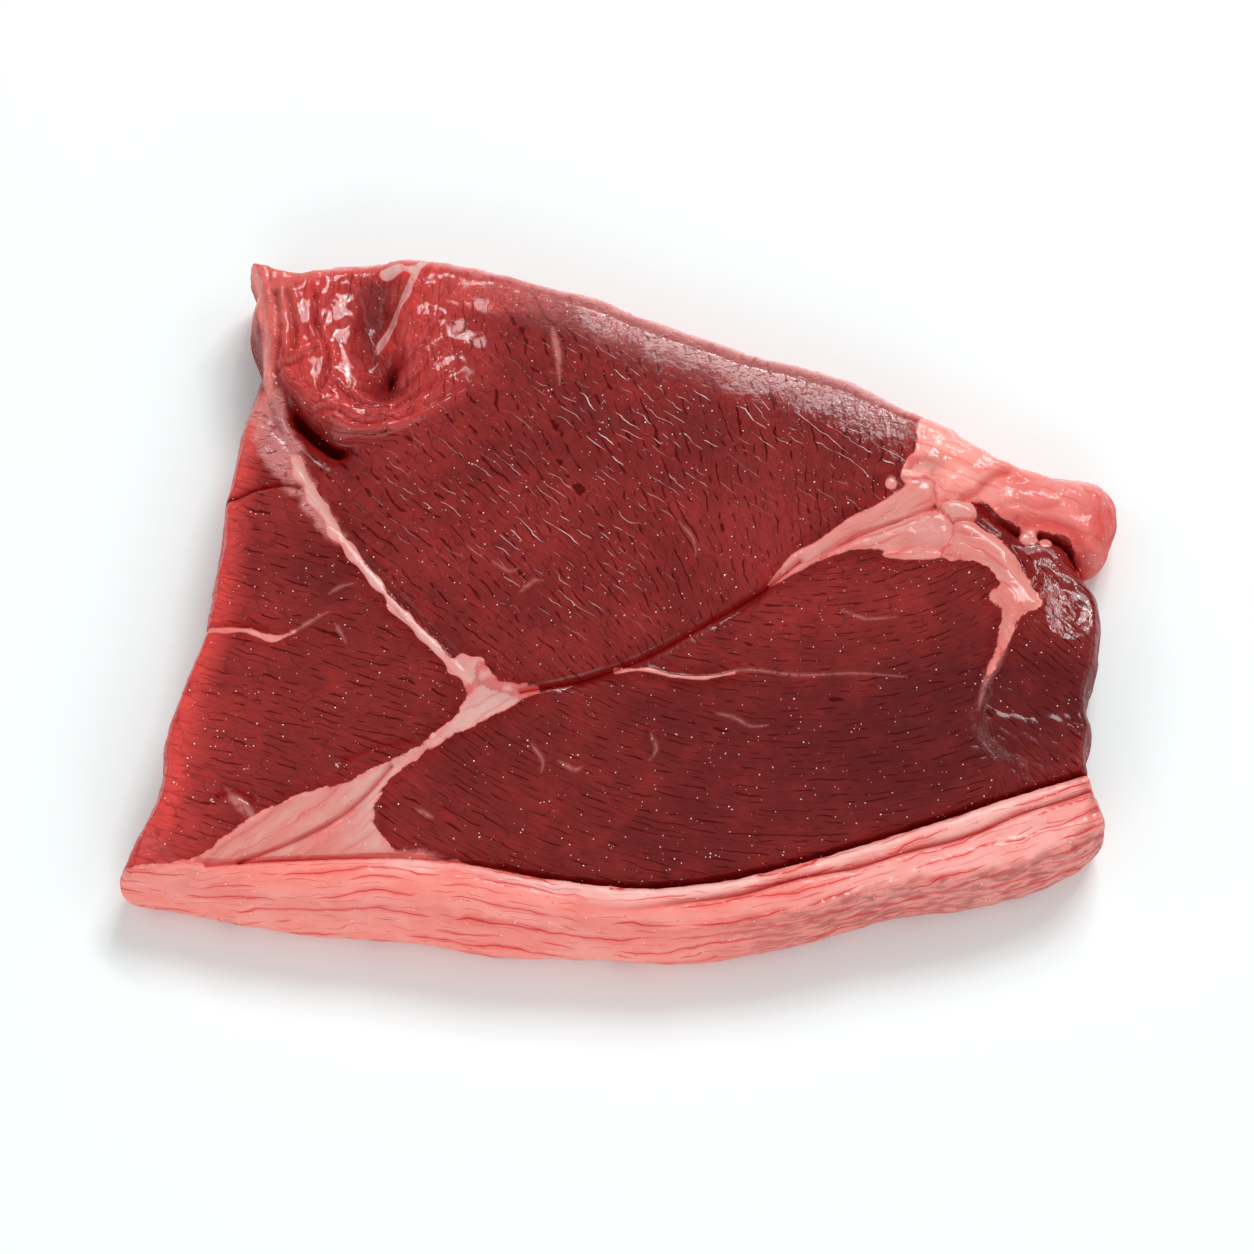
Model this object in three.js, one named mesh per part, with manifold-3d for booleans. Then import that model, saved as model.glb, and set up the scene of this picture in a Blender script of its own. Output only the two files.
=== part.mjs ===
// A raw sirloin steak: one boneless slice lying on its cut face, built as the slice is, from its muscles, the seams of
// fat between them, the fat cap along its front edge and the flap folded over at its back left, all grown into one.
// Millimetres, +Z up, fat cap towards -Y. The origin is the middle of the footprint, on the board.
import * as THREE from "three";
import { mergeVertices } from "three/addons/utils/BufferGeometryUtils.js";
import Module from "manifold-3d";

const wasm = await Module();
wasm.setup();

// Driving dimensions
const SLICE = 23; // thickness of the slice through its main muscles
const GIRTH = 8; // height at which its side walls stand out furthest
const FOOT_TUCK = 2.5; // how far the walls draw in again to meet the board
const RIM = 4.5; // width of the rounding between a wall and the cut face
const SUNK = 3; // how far each form runs below the board before the base is cut flat
const CURVE_STEPS = 400; // samples along an outline or a rail

// Gentle highs and lows of the cut face: x, y, reach, rise
const SWELLS = [
  [5, 32, 46, 1.6],
  [-58, 4, 20, -1.0],
  [-72, -28, 26, 0.8],
  [18, -42, 40, -0.6],
  [70, -14, 20, -0.8],
  [96, -14, 16, 1.2],
];

// The flap's fold: its rolled crest, and the hollow that it curls round, in the same form
const FLAP_RISE = 2.6; // of the fold over the cut face
const FLAP_SWELLS = [
  [-78, 66, 9, 0.6],
  [-68, 46, 12, 1.0],
  [-50, 40, 12, 0.6],
  [-54, 69, 8, -5.4],
  [-55, 56, 6, -4.6],
  [-24, 60, 15, -1.4],
];
const UNDER_FLAP = [[-54, 64, 15, -9]]; // dip of the upper muscle under the hollow

const swell = (list, x, y) =>
  list.reduce((z, [cx, cy, reach, rise]) => z + rise * Math.exp(-((x - cx) ** 2 + (y - cy) ** 2) / reach ** 2), 0);

const cutFace = (x, y) => SLICE + swell(SWELLS, x, y);
const lowered = (drop) => (x, y) => cutFace(x, y) - drop;
const flapTop = (x, y) => cutFace(x, y) + FLAP_RISE + swell(FLAP_SWELLS, x, y);
const upperTop = (x, y) => cutFace(x, y) + swell(UNDER_FLAP, x, y);

// Smooth curve through [x, y] points.
function curve(points, closed = false) {
  const line = new THREE.CatmullRomCurve3(
    points.map(([x, y]) => new THREE.Vector3(x, y, 0)),
    closed,
    "centripetal",
  );
  line.arcLengthDivisions = CURVE_STEPS;
  return line;
}

// Closed solid of rows of vertices, from a low pole to a high one: place(u, row) gives each [x, y, z], with u from 0
// to 1 round the row, anticlockwise as seen from the high pole, and one point for all of a pole's row.
function loft(around, rows, place) {
  const shape = new THREE.SphereGeometry(1, around, rows - 1);
  const { position, uv } = shape.attributes;
  for (let i = 0; i < position.count; i++) {
    const row = Math.round(uv.getY(i) * (rows - 1));
    const pole = row === 0 || row === rows - 1;
    position.setXYZ(i, ...place(pole ? 0 : uv.getX(i) % 1, row));
  }
  shape.deleteAttribute("normal");
  shape.deleteAttribute("uv");
  const { attributes, index } = mergeVertices(shape, 1e-4);
  return new wasm.Manifold(
    new wasm.Mesh({
      numProp: 3,
      vertProperties: new Float32Array(attributes.position.array),
      triVerts: new Uint32Array(index.array),
    }),
  );
}

// Heights and insets of a muscle's rows, up to where its rim meets the cut face.
const WALL_ROWS = [
  { inset: FOOT_TUCK, z: -SUNK },
  { inset: FOOT_TUCK, z: 0 },
  { inset: FOOT_TUCK * 0.3, z: GIRTH * 0.45 },
  { inset: 0, z: GIRTH },
];
const RIM_TURNS = [25, 48, 68, 90].map(THREE.MathUtils.degToRad);
const FACE_SHARES = [0.8, 0.55, 0.3]; // of the way from the middle to the rim

// A muscle or a lobe of fat that runs through the slice: a pillow on an outline that its middle can see all of.
function pillow({ outline, middle, top, around, rim = RIM }) {
  const edge = curve(outline, true);
  const [mx, my] = middle;
  const rimRows = RIM_TURNS.map((turn) => ({ inset: rim * (1 - Math.cos(turn)), lift: Math.sin(turn) }));
  const rows = [...WALL_ROWS, ...rimRows, ...FACE_SHARES.map((share) => ({ inset: rim, lift: 1, share }))];
  return loft(around, rows.length + 2, (u, row) => {
    if (row === 0) return [mx, my, -SUNK];
    if (row > rows.length) return [mx, my, top(mx, my)];
    const { inset, z, lift, share = 1 } = rows[row - 1];
    const p = edge.getPointAt(u);
    const reach = Math.hypot(p.x - mx, p.y - my);
    const kept = share * (1 - inset / reach);
    const [x, y] = [mx + (p.x - mx) * kept, my + (p.y - my) * kept];
    return [x, y, z ?? GIRTH + (top(x, y) - GIRTH) * lift];
  });
}

// Cross-sections of strips, anticlockwise as seen from the strip's far end, from its left edge: the place between the
// rails (1 left, -1 right) and the height as a share of the strip's top.
const SQUARE_SECTION = [
  [1, 0.5],
  [0.96, 0.8],
  [0.75, 0.96],
  [0.35, 1.02],
  [-0.35, 1.02],
  [-0.75, 0.96],
  [-0.96, 0.8],
  [-1, 0.5],
  [-0.9, -0.1],
  [0.9, -0.1],
];
const CAP_SECTION = [
  [1, 0.5],
  [0.98, 0.85],
  [0.86, 0.98],
  [0.6, 1.03],
  [0.3, 1.0],
  [0.0, 0.93],
  [-0.35, 0.86],
  [-0.62, 0.75],
  [-0.85, 0.56],
  [-1, 0.34],
  [-0.95, 0.14],
  [-0.88, -0.1],
  [0.9, -0.1],
];
const ROUND_SECTION = [
  [1, 0.42],
  [0.95, 0.62],
  [0.78, 0.82],
  [0.5, 0.95],
  [0.15, 1.0],
  [-0.2, 0.97],
  [-0.55, 0.86],
  [-0.82, 0.68],
  [-0.97, 0.5],
  [-1, 0.34],
  [-0.93, 0.12],
  [-0.8, -0.1],
  [0.8, -0.1],
];

// Share of its full section that a strip has at t of its length, with ends rounded over `reach` of the length.
function endSwell(t, [start, end]) {
  const near = Math.min(1, t / start, (1 - t) / end);
  return Math.sqrt(1 - (1 - near) ** 2);
}

// A strip of fat between a left and a right rail, travelling from the rails' starts to their ends.
function strip({ left, right, top, section, stations, ends = [0.06, 0.06] }) {
  const [leftRail, rightRail] = [curve(left), curve(right)];
  return loft(section.length, stations + 2, (u, row) => {
    const t = (1 - Math.cos((Math.PI * row) / (stations + 1))) / 2;
    const [l, r] = [leftRail.getPointAt(t), rightRail.getPointAt(t)];
    const [mx, my] = [(l.x + r.x) / 2, (l.y + r.y) / 2];
    const height = top(mx, my, t);
    if (row === 0 || row === stations + 1) return [mx, my, height * 0.4];
    const [across, share] = section[Math.round(u * section.length)];
    const full = endSwell(t, ends);
    const offset = across * full;
    const lift = share < 0 ? -SUNK : height * (0.4 + (share - 0.4) * (0.35 + 0.65 * full));
    return [mx + ((l.x - r.x) / 2) * offset, my + ((l.y - r.y) / 2) * offset, lift];
  });
}

// Inner bulk of the slice, under the seams: it closes the forks between the muscles down to the board.
const BULK_DROP = 5; // of its top under the cut face
function bulk() {
  return pillow({
    outline: [
      [-84, 72], [-81, 60], [-81, 45], [-85, 20], [-90, -8], [-97, -37], [-101, -60], [-72, -69], [-28, -74],
      [5, -75], [50, -68], [97, -56], [99, -44], [98, -26], [100, -5], [95, 4], [100, 11], [98, 22],
      [84, 28], [72, 34], [50, 48], [17, 58], [-18, 70], [-41, 76], [-53, 77], [-70, 74],
    ],
    middle: [0, 0],
    top: lowered(BULK_DROP),
    around: 72,
  });
}

// The four muscles, with their outlines anticlockwise from above
function upperMuscle() {
  return pillow({
    outline: [
      [-86, 64], [-80, 42], [-74, 28.5], [-62, 10], [-50.5, -3.5], [-38, -17], [-30, -25.5], [-22.5, -27],
      [-10.5, -23], [3, -19], [16.5, -11.5], [30, -2], [48, 14], [63, 25], [69, 31], [72, 41.5], [62.5, 47],
      [40, 57], [17, 64], [-6, 73.5], [-29.5, 80], [-52.5, 83.5], [-64, 81], [-76, 78], [-85, 74],
    ],
    middle: [-10, 30],
    top: upperTop,
    around: 84,
    rim: 6,
  });
}

function leftMuscle() {
  return pillow({
    outline: [
      [-88.5, 38], [-91.5, 19], [-93.5, -1.5], [-98, -19.5], [-103, -37], [-105.5, -52], [-109.5, -62.5], [-92, -67],
      [-82.5, -56.5], [-71.5, -51], [-52, -42], [-41, -35.5], [-35.5, -29.5], [-34, -22], [-41.5, -14],
      [-50.5, -4.5], [-62, 9.5], [-72.5, 25], [-77.5, 35], [-81.5, 46], [-84, 50], [-86, 48],
    ],
    middle: [-75, -25],
    top: lowered(1.2),
    around: 64,
  });
}

function lowerMuscle() {
  return pillow({
    outline: [
      [-35.5, -33.5], [-44.5, -38.5], [-52.5, -45], [-55, -52], [-54, -59.5], [-48.5, -64.5], [-27.5, -68],
      [3, -72.5], [24.5, -70.5], [51, -63], [82, -53], [102.5, -43.5], [103.5, -37], [92, -35], [80.5, -29],
      [83.5, -18], [84, -6.5], [78, 2], [68, 7], [50, 8], [39, 3.5], [30, -3], [16.5, -12], [3, -19],
      [-10.5, -23], [-24.5, -27.5],
    ],
    middle: [15, -35],
    top: lowered(1.8),
    around: 76,
  });
}

function rightMuscle() {
  return pillow({
    outline: [
      [91, 4], [89, -3.5], [86.5, -13], [82, -22.5], [79, -33], [82.5, -42], [91, -47], [102.5, -41.5],
      [104, -34], [103, -27], [105.5, -18.5], [107, -5.5], [105.5, 0.5], [101.5, 5], [95.5, 10.5],
    ],
    middle: [94, -18],
    top: lowered(0.2),
    around: 40,
    rim: 6,
  });
}

// The flap folded over the upper muscle, whose lip overhangs a pocket
function flap() {
  return pillow({
    outline: [
      [-84.5, 66], [-83, 57.5], [-80, 48.5], [-75, 43.5], [-69.5, 38.5], [-64, 35], [-58, 34], [-52.5, 35.5],
      [-44.5, 38.5], [-35.5, 43.5], [-26.5, 51], [-22, 61], [-29, 73.5], [-40.5, 79], [-52.5, 80.5],
      [-64, 79.5], [-75, 77.5], [-82, 78.5], [-86.5, 79.5], [-87.8, 78], [-86, 72.5],
    ],
    middle: [-55.5, 60],
    top: flapTop,
    around: 56,
    rim: 3.5,
  });
}

const POCKET_FLOOR = 14; // height of the bottom of the pocket under the flap's lip
function pocket() {
  return strip({
    left: [[-75, 46], [-71.5, 41.5], [-67.5, 38], [-63, 36], [-58.5, 35.5]],
    right: [[-78.5, 45], [-75, 39], [-70, 34.5], [-64, 32], [-58.5, 33]],
    top: () => SLICE + 8,
    section: SQUARE_SECTION,
    stations: 8,
    ends: [0.2, 0.2],
  }).intersect(slab(POCKET_FLOOR, 40));
}

// The thick strip of fat along the front edge, left to right, with its inner rail in the crease beside the meat
function fatCap() {
  return strip({
    left: [
      [-112, -62], [-93, -64.5], [-71.5, -63.5], [-49.5, -63], [-34, -65], [-14.5, -68.5], [3, -70.5],
      [25, -68], [51, -61], [82, -50.5], [104, -42.5],
    ],
    right: [
      [-112.2, -69.5], [-94.5, -72.5], [-72, -76.5], [-50, -78.5], [-28, -81.5], [-6, -82.5], [5, -83.5],
      [27, -81.5], [49.5, -76], [82.5, -69.5], [103, -61],
    ],
    top: (x, y, t) => SLICE - 3.5 + 3.5 * Math.min(1, t / 0.3),
    section: CAP_SECTION,
    stations: 34,
    ends: [0.05, 0.025],
  });
}

// Fat that fills the forks between the muscles
function lowerLeftSeam() {
  const seam = strip({
    left: [
      [-92, -65.5], [-86.5, -58], [-74, -50.5], [-62, -46.5], [-52, -41.5], [-42, -35.5], [-36.5, -29],
      [-33, -19], [-28, -22.5], [-21, -25],
    ],
    right: [
      [-92, -65.5], [-80, -65], [-69, -60.5], [-59.5, -51], [-50.5, -44], [-41, -37], [-32.5, -32.5],
      [-28, -30], [-23.5, -27.5], [-21, -25],
    ],
    top: lowered(1),
    section: SQUARE_SECTION,
    stations: 20,
  });
  const wedge = pillow({
    outline: [[-55, -45], [-63, -55], [-75, -64], [-60.5, -66], [-45, -66], [-50, -62], [-51.5, -55]],
    middle: [-58, -59],
    top: lowered(1.4),
    around: 20,
    rim: 3,
  });
  return seam.add(wedge);
}

const SEAM_WIDTH = 2.6; // of the thin seam between the left and upper muscles
function upperLeftSeam() {
  const line = [[-81, 47], [-76.5, 32], [-71, 20.5], [-62, 10], [-50.5, -4], [-41.5, -14], [-32, -23]];
  const shifted = (side) => line.map(([x, y]) => [x + side * 0.75, y + side * 0.6]);
  return strip({
    left: shifted(SEAM_WIDTH / 2),
    right: shifted(-SEAM_WIDTH / 2),
    top: lowered(1.3),
    section: SQUARE_SECTION,
    stations: 14,
    ends: [0.02, 0.02],
  });
}

// Three lobes of fat in the right fork, from the long one against the upper muscle to the one that arches down
function rightLobes() {
  const upperLobe = strip({
    left: [[34, 1], [43.5, 9.5], [52.5, 16], [63, 24], [70, 30]],
    right: [[34, 1], [43.5, 6], [52.5, 10.5], [62.5, 15.5], [74, 20]],
    top: lowered(0.2),
    section: SQUARE_SECTION,
    stations: 12,
    ends: [0.1, 0.1],
  });
  const middleLobe = strip({
    left: [[46, 8.5], [56, 12.5], [66, 16.5], [76, 20]],
    right: [[46, 7], [57, 7.5], [68, 6], [78, 4]],
    top: lowered(0.8),
    section: SQUARE_SECTION,
    stations: 9,
    ends: [0.12, 0.12],
  });
  const archedLobe = strip({
    left: [[74, 20], [82, 16.5], [89, 9], [92.5, -1.5], [91, -11.5], [86, -18], [83, -25], [80.5, -31]],
    right: [[67, 15], [75, 9], [80.5, 3.5], [83.5, -4], [83.5, -13.5], [80.5, -21], [79, -26], [79, -31]],
    top: lowered(0),
    section: SQUARE_SECTION,
    stations: 16,
    ends: [0.08, 0.08],
  });
  return upperLobe.add(middleLobe).add(archedLobe);
}

const TAIL_DROP = 7; // fall in height from the tail's root to its tip
function fatTail() {
  return strip({
    left: [[64, 46.5], [77.5, 39.5], [85.5, 34], [94.5, 31.5], [102.5, 30], [110, 26], [114, 19]],
    right: [[60, 25], [72.5, 19], [81.5, 16.5], [88, 13], [94.5, 9.5], [101, 5], [110, 6]],
    top: (x, y, t) => SLICE + 0.5 - TAIL_DROP * t ** 1.5,
    section: ROUND_SECTION,
    stations: 16,
    ends: [0.1, 0.14],
  });
}

// Loose ends of meat that show from under the left edge: x, y, half-length across, half-length along, height
const LOOSE_ENDS = [
  [-84, 64.5, 3.6, 9, 13],
  [-104.5, -55, 4.0, 7, 9],
];
function looseEnd([x, y, halfX, halfY, height]) {
  return loft(16, 9, (u, row) => {
    const rise = (Math.PI * row) / 8 - Math.PI / 2;
    const ring = Math.cos(rise);
    const turn = 2 * Math.PI * u;
    const z = (height - SUNK) / 2 + ((height + SUNK) / 2) * Math.sin(rise);
    return [x + halfX * ring * Math.cos(turn), y + halfY * ring * Math.sin(turn), z];
  });
}

// A block wider than the steak, from one height to another.
function slab(low, high) {
  const block = new THREE.BoxGeometry(300, 300, high - low).translate(0, 0, (low + high) / 2);
  block.deleteAttribute("normal");
  block.deleteAttribute("uv");
  const { attributes, index } = mergeVertices(block);
  return new wasm.Manifold(
    new wasm.Mesh({
      numProp: 3,
      vertProperties: new Float32Array(attributes.position.array),
      triVerts: new Uint32Array(index.array),
    }),
  );
}

function steak() {
  const forms = [
    bulk(), upperMuscle(), leftMuscle(), lowerMuscle(), rightMuscle(), flap(), fatCap(), lowerLeftSeam(), upperLeftSeam(),
    rightLobes(), fatTail(), ...LOOSE_ENDS.map(looseEnd),
  ];
  const grown = forms.reduce((whole, form) => whole.add(form));
  const { numProp, vertProperties, triVerts, numVert } = grown.subtract(pocket()).intersect(slab(0, 60)).getMesh();
  const positions = new Float32Array(numVert * 3);
  for (let i = 0; i < numVert; i++) positions.set(vertProperties.subarray(i * numProp, i * numProp + 3), i * 3);
  const shape = new THREE.BufferGeometry();
  shape.setAttribute("position", new THREE.BufferAttribute(positions, 3));
  shape.setIndex(new THREE.BufferAttribute(triVerts, 1));
  shape.computeBoundingBox();
  const middle = shape.boundingBox.getCenter(new THREE.Vector3());
  shape.translate(-middle.x, -middle.y, 0);
  shape.computeVertexNormals();
  const rawBeef = new THREE.MeshStandardMaterial({ color: 0x8c3030, roughness: 0.35, metalness: 0 });
  const mesh = new THREE.Mesh(shape, rawBeef);
  mesh.name = "steak";
  return mesh;
}

const part = new THREE.Group();
part.add(steak());
export default part;
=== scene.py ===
"""A raw sirloin steak lying flat: lean, fat cap, seams of fat and folded flap in one carved, wet mesh."""

import math

import bpy
import numpy as np
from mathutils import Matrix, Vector
from mathutils.geometry import delaunay_2d_cdt


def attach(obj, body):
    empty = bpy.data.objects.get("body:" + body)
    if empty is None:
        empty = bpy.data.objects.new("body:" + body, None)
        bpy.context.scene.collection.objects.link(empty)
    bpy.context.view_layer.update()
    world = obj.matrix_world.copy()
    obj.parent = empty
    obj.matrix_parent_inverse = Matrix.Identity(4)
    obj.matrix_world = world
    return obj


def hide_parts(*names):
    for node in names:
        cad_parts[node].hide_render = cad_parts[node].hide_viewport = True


MM = 0.001
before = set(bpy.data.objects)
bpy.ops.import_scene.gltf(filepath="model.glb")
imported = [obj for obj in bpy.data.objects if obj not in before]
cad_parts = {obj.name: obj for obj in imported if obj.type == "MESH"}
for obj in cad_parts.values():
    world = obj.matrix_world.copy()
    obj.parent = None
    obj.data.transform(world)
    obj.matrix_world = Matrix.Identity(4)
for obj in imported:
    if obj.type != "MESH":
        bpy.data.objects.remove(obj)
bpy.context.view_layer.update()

# --------------------------------------------------------------------------------------------------
# Sizes, in millimetres, in the frame of the solids
SLICE = 23.0  # thickness through the main muscles
GIRTH = 8.0  # height at which the side walls stand out furthest
FOOT = 3.0  # how far the walls draw in to meet the board
MESH_STEP = 0.72  # between vertices of the cut face
EDGE_STEP = 0.8  # between vertices along the outline
UNDER_STEP = 2.4  # between vertices underneath
RANDOM_SEED = 7
LIP_REACH = 1.7  # how far the flap's lip hangs over its pocket
LIP_WAY = (0.62, 0.78)  # and against which way
BUNDLE_HEIGHT = 9.0  # of the meat's bundles in the side walls
MIRROR_FALL = (0.14, 0.145)  # how fast a place that mirrors the main light falls away along x and y
NEAR = 9.0  # within this of a line, distances to it are exact
FAR_STEP = 5  # further away, one in so many of its points will do
BLOCK = 4000  # places measured at once

OUTLINE = [
    (-87.5, 79.2), (-75.8, 77.9), (-64.2, 81.2), (-52.7, 83.3), (-41, 82), (-29.4, 80.2), (-17.7, 76.6),
    (-6.1, 73.6), (5.4, 68.5), (17, 64.2), (28.5, 59.9), (39.9, 56.9), (51.4, 53.2), (62.7, 46.9),
    (74, 40.7), (85.2, 33.3), (94.3, 30.6), (102.2, 29.6), (109.2, 27.6), (112.1, 20.7), (110.4, 13.3),
    (106.8, 8), (103.3, 6), (105.4, 0.7), (106.9, -5.3), (105.5, -18.5), (103.1, -26.8), (104, -33.9),
    (102.4, -39.8), (103.5, -46.8), (106, -55.7), (101.9, -61.3), (94.2, -65.6), (82.7, -69.6),
    (71.6, -71.6), (60.5, -72.8), (49.4, -76), (38.3, -79.2), (27.2, -81.5), (16.2, -83.1), (5.2, -83.3),
    (-5.8, -82.6), (-27.9, -81.7), (-50, -78.3), (-72.1, -76.7), (-94.4, -72.5), (-105.5, -70.5),
    (-111.3, -68.9), (-112.1, -66.6), (-108.9, -58.7), (-105.5, -52), (-103.1, -44.5), (-103, -37),
    (-98.2, -19.7), (-95.2, -11.4), (-93.7, -1.7), (-92.1, 10.4), (-91.7, 19), (-90, 28.8), (-87.2, 42.5),
    (-84.3, 53.8), (-87.3, 65.1), (-85.6, 72.3),
]
UPPER = [
    (-86, 64), (-80, 42), (-74, 28.5), (-69.5, 20), (-62, 10), (-50.5, -3.5), (-38, -17), (-30, -25.5),
    (-22.5, -27), (-10.5, -23), (3, -19), (16.5, -11.5), (30, -2), (38, 3), (49, 11), (62, 19), (70, 29),
    (76, 41.5), (70, 48), (64, 54), (42, 64), (18, 71), (-6, 80), (-29.5, 87), (-52.5, 90), (-76, 86),
    (-92, 84),
]
LEFT = [
    (-84, 40), (-96, 42), (-98, 20), (-101, -11.5), (-109, -37), (-112, -52), (-116, -64.5), (-96, -66.5),
    (-82.5, -56.5), (-71.5, -51), (-52, -42), (-41, -35.5), (-36.5, -29.5), (-34.5, -22), (-41.5, -14),
    (-50.5, -4.5), (-62, 9.5), (-72.5, 25), (-77.5, 35),
]
LOWER = [
    (-35.5, -33.5), (-44.5, -38.5), (-52.5, -45), (-55, -52), (-54, -59.5), (-48.5, -64.5), (-27.5, -68),
    (-10, -71), (3, -72.5), (24.5, -70.5), (38, -67), (51, -63), (66.5, -58.5), (82, -53), (108, -42.5),
    (108, -33), (89, -31), (81.5, -29), (84.5, -18), (86.5, -6.5), (82, 5), (70, 10.5), (50, 10),
    (39, 4.5), (30, -3), (16.5, -12), (3, -19), (-10.5, -23), (-24.5, -27.5),
]
RIGHT = [
    (87, 10.5), (91, 12.4), (96, 11.8), (100, 9), (105, 2), (110, -5), (114, -18.5), (114, -33),
    (112, -40), (104, -48), (90, -52), (78, -50), (73, -34), (79, -24), (82.5, -17), (85.5, -12),
    (88, -8), (92, -4), (91, 1), (89, 5),
]
CAP_INNER = [
    (-111, -64.5), (-93.2, -64.5), (-71.4, -63.5), (-49.5, -63), (-34.2, -64.8), (-14.5, -68.5),
    (2.9, -70.3), (24.8, -67.8), (51.1, -60.7), (82.1, -50.4), (103.5, -43.5),
]
LOWER_SEAM = [
    (-94, -65.5), (-86.5, -58), (-74, -50.5), (-62, -46.5), (-52, -41.5), (-42, -35.5), (-36.5, -29),
    (-33, -19), (-28, -23.5), (-20, -25), (-23.5, -27.5), (-28, -30), (-32.5, -32.5), (-41, -37),
    (-50.5, -44), (-59.5, -52), (-69, -61), (-78, -66.5),
]
WEDGE = [
    (-52.5, -43), (-57, -48), (-63, -56), (-74, -64), (-78, -68), (-60, -67), (-40, -67), (-37, -65.5),
    (-46, -63.5), (-53, -60), (-55.5, -54), (-54, -48),
]
UPPER_SEAM = [
    (-75, 30), (-73.5, 26.5), (-69.2, 18.8), (-62.4, 8.6), (-56.8, 1.4), (-50.6, -6.6), (-42.6, -15.2),
    (-35, -23),
]
MEMBRANE = [
    (-84.5, 56), (-81.5, 53), (-78.5, 46), (-75.6, 38), (-72.2, 28.5), (-68, 19), (-63.8, 10.5),
    (-66.5, 10), (-72, 17.5), (-76.5, 22.5), (-80.5, 26.5), (-84, 34), (-85.5, 45),
]
FORK_SEAM = [(-23.6, -25.5), (-10.3, -22.7), (3, -18), (16.4, -10.4), (29.9, -1.9), (38.9, 5.3)]
UPPER_LOBE = [
    (31.5, -0.5), (35.6, 4.8), (37.9, 7.2), (42.4, 9.4), (46.3, 12.7), (50.4, 15.7), (58.8, 20),
    (65.7, 25), (69, 25.4), (69.8, 22.5), (68.5, 19), (58.7, 14.7), (48.5, 10.3), (41.6, 4.8), (36, 1.5),
]
LOBE_GAP = [
    (33, -0.5), (37, 2.4), (41.8, 5.6), (48.5, 10.4), (58.7, 14.8), (65, 17), (68.5, 18.5), (71.5, 18.6),
]
MIDDLE_LOBE = [
    (44, 6.6), (47.6, 8.4), (51.9, 11.3), (60.5, 14.9), (68.5, 18), (71.2, 17.8), (73.2, 15.4),
    (73.3, 12.2), (72.6, 9.3), (68.3, 8.8), (59.3, 8.8), (50.3, 8.1),
]
SLIVER = [(57.5, 7.1), (60.4, 8.5), (69.4, 8.5), (70.7, 7.6), (69.4, 6.4), (60.4, 6.4)]
NODULE = [
    (70.8, 19.3), (73, 20.3), (76.4, 20.3), (78.4, 18.8), (79, 16.6), (76.7, 15.7), (73.4, 15.7),
    (71.1, 16.6),
]
PETAL = [(63.9, 27.6), (65.8, 30.8), (69.2, 31.5), (72.2, 30.8), (71.9, 28.8), (68.7, 27.4), (65.7, 27.1)]
ARCHED_LOBE = [
    (73.8, 15.2), (77.4, 15.7), (80.7, 13.2), (84.5, 10.8), (87.3, 7.9), (90.4, 0.7), (92.3, -2.9),
    (92.5, -5.3), (87.9, -7.6), (86.7, -10), (85.9, -13.1), (83.4, -16.6), (80.4, -21.5), (79.6, -22),
    (81.6, -16.6), (83.4, -10), (83.7, -6), (80.7, -2.4), (83.7, 0), (82.7, 3.1), (79.8, 5.5), (71, 7),
    (73.7, 12),
]
TAIL = [
    (66.5, 40), (72, 44), (77.5, 42), (85.5, 37), (94.5, 34), (102.5, 33), (114, 28), (116, 14),
    (108, 4.5), (103, 4.8), (101.2, 9), (99, 13), (93.7, 14.8), (89.2, 15.2), (84.5, 16.6), (80, 20.6),
    (70, 21.5), (69.5, 25.6), (64.5, 25.6), (63.6, 27.8), (65.4, 33),
]
FLAP = [
    (-84.5, 66), (-83, 57.5), (-80, 48.5), (-75, 43.5), (-69.5, 38.5), (-64, 35), (-58, 34),
    (-52.5, 35.5), (-44.5, 38.5), (-35.5, 43.5), (-26.5, 51), (-22, 61), (-26, 76), (-38, 88), (-64, 90),
    (-96, 88),
]
LIP = [(-77.5, 47.5), (-74.3, 43.4), (-71, 39.4), (-67.6, 36.2), (-64.4, 34), (-60.5, 33.1), (-56, 34)]
FLAP_HOLLOW = [(-55.5, 79), (-56.5, 73), (-57.2, 67), (-57.6, 61), (-57, 56), (-55, 50.5), (-54.7, 47.5)]
MEMBRANE_EDGE = [(-46.5, 79.5), (-48.3, 74.7), (-50.7, 69.3), (-53.6, 63.4), (-56, 59.6), (-57, 57)]
LEFT_RIDGE = [(-86.4, 78), (-84.6, 70.5), (-83, 62), (-82.4, 55), (-81.8, 48.5), (-81.4, 43)]


# --------------------------------------------------------------------------------------------------
# Curves, distances and smooth steps, on arrays of [x, y] in millimetres
def smooth_curve(points, closed=False, step=1.5):
    """Centripetal Catmull-Rom curve through the points, sampled about every step."""
    points = np.array(points, float)
    count = len(points)
    if closed:
        padded = np.vstack([points[-1:], points, points[:2]])
    else:
        padded = np.vstack([2 * points[0] - points[1], points, 2 * points[-1] - points[-2]])
    samples = []
    for i in range(count if closed else count - 1):
        a, b, c, d = padded[i : i + 4]
        ta = 0.0
        tb = ta + np.linalg.norm(b - a) ** 0.5
        tc = tb + np.linalg.norm(c - b) ** 0.5
        td = tc + np.linalg.norm(d - c) ** 0.5
        parts = max(2, round(np.linalg.norm(c - b) / step))
        t = np.linspace(tb, tc, parts, endpoint=False)[:, None]
        ab = ((tb - t) * a + (t - ta) * b) / (tb - ta)
        bc = ((tc - t) * b + (t - tb) * c) / (tc - tb)
        cd = ((td - t) * c + (t - tc) * d) / (td - tc)
        abc = ((tc - t) * ab + (t - ta) * bc) / (tc - ta)
        bcd = ((td - t) * bc + (t - tb) * cd) / (td - tb)
        samples.append(((tc - t) * abc + (t - tb) * bcd) / (tc - tb))
    if not closed:
        samples.append(points[-1:])
    return np.vstack(samples)


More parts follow.
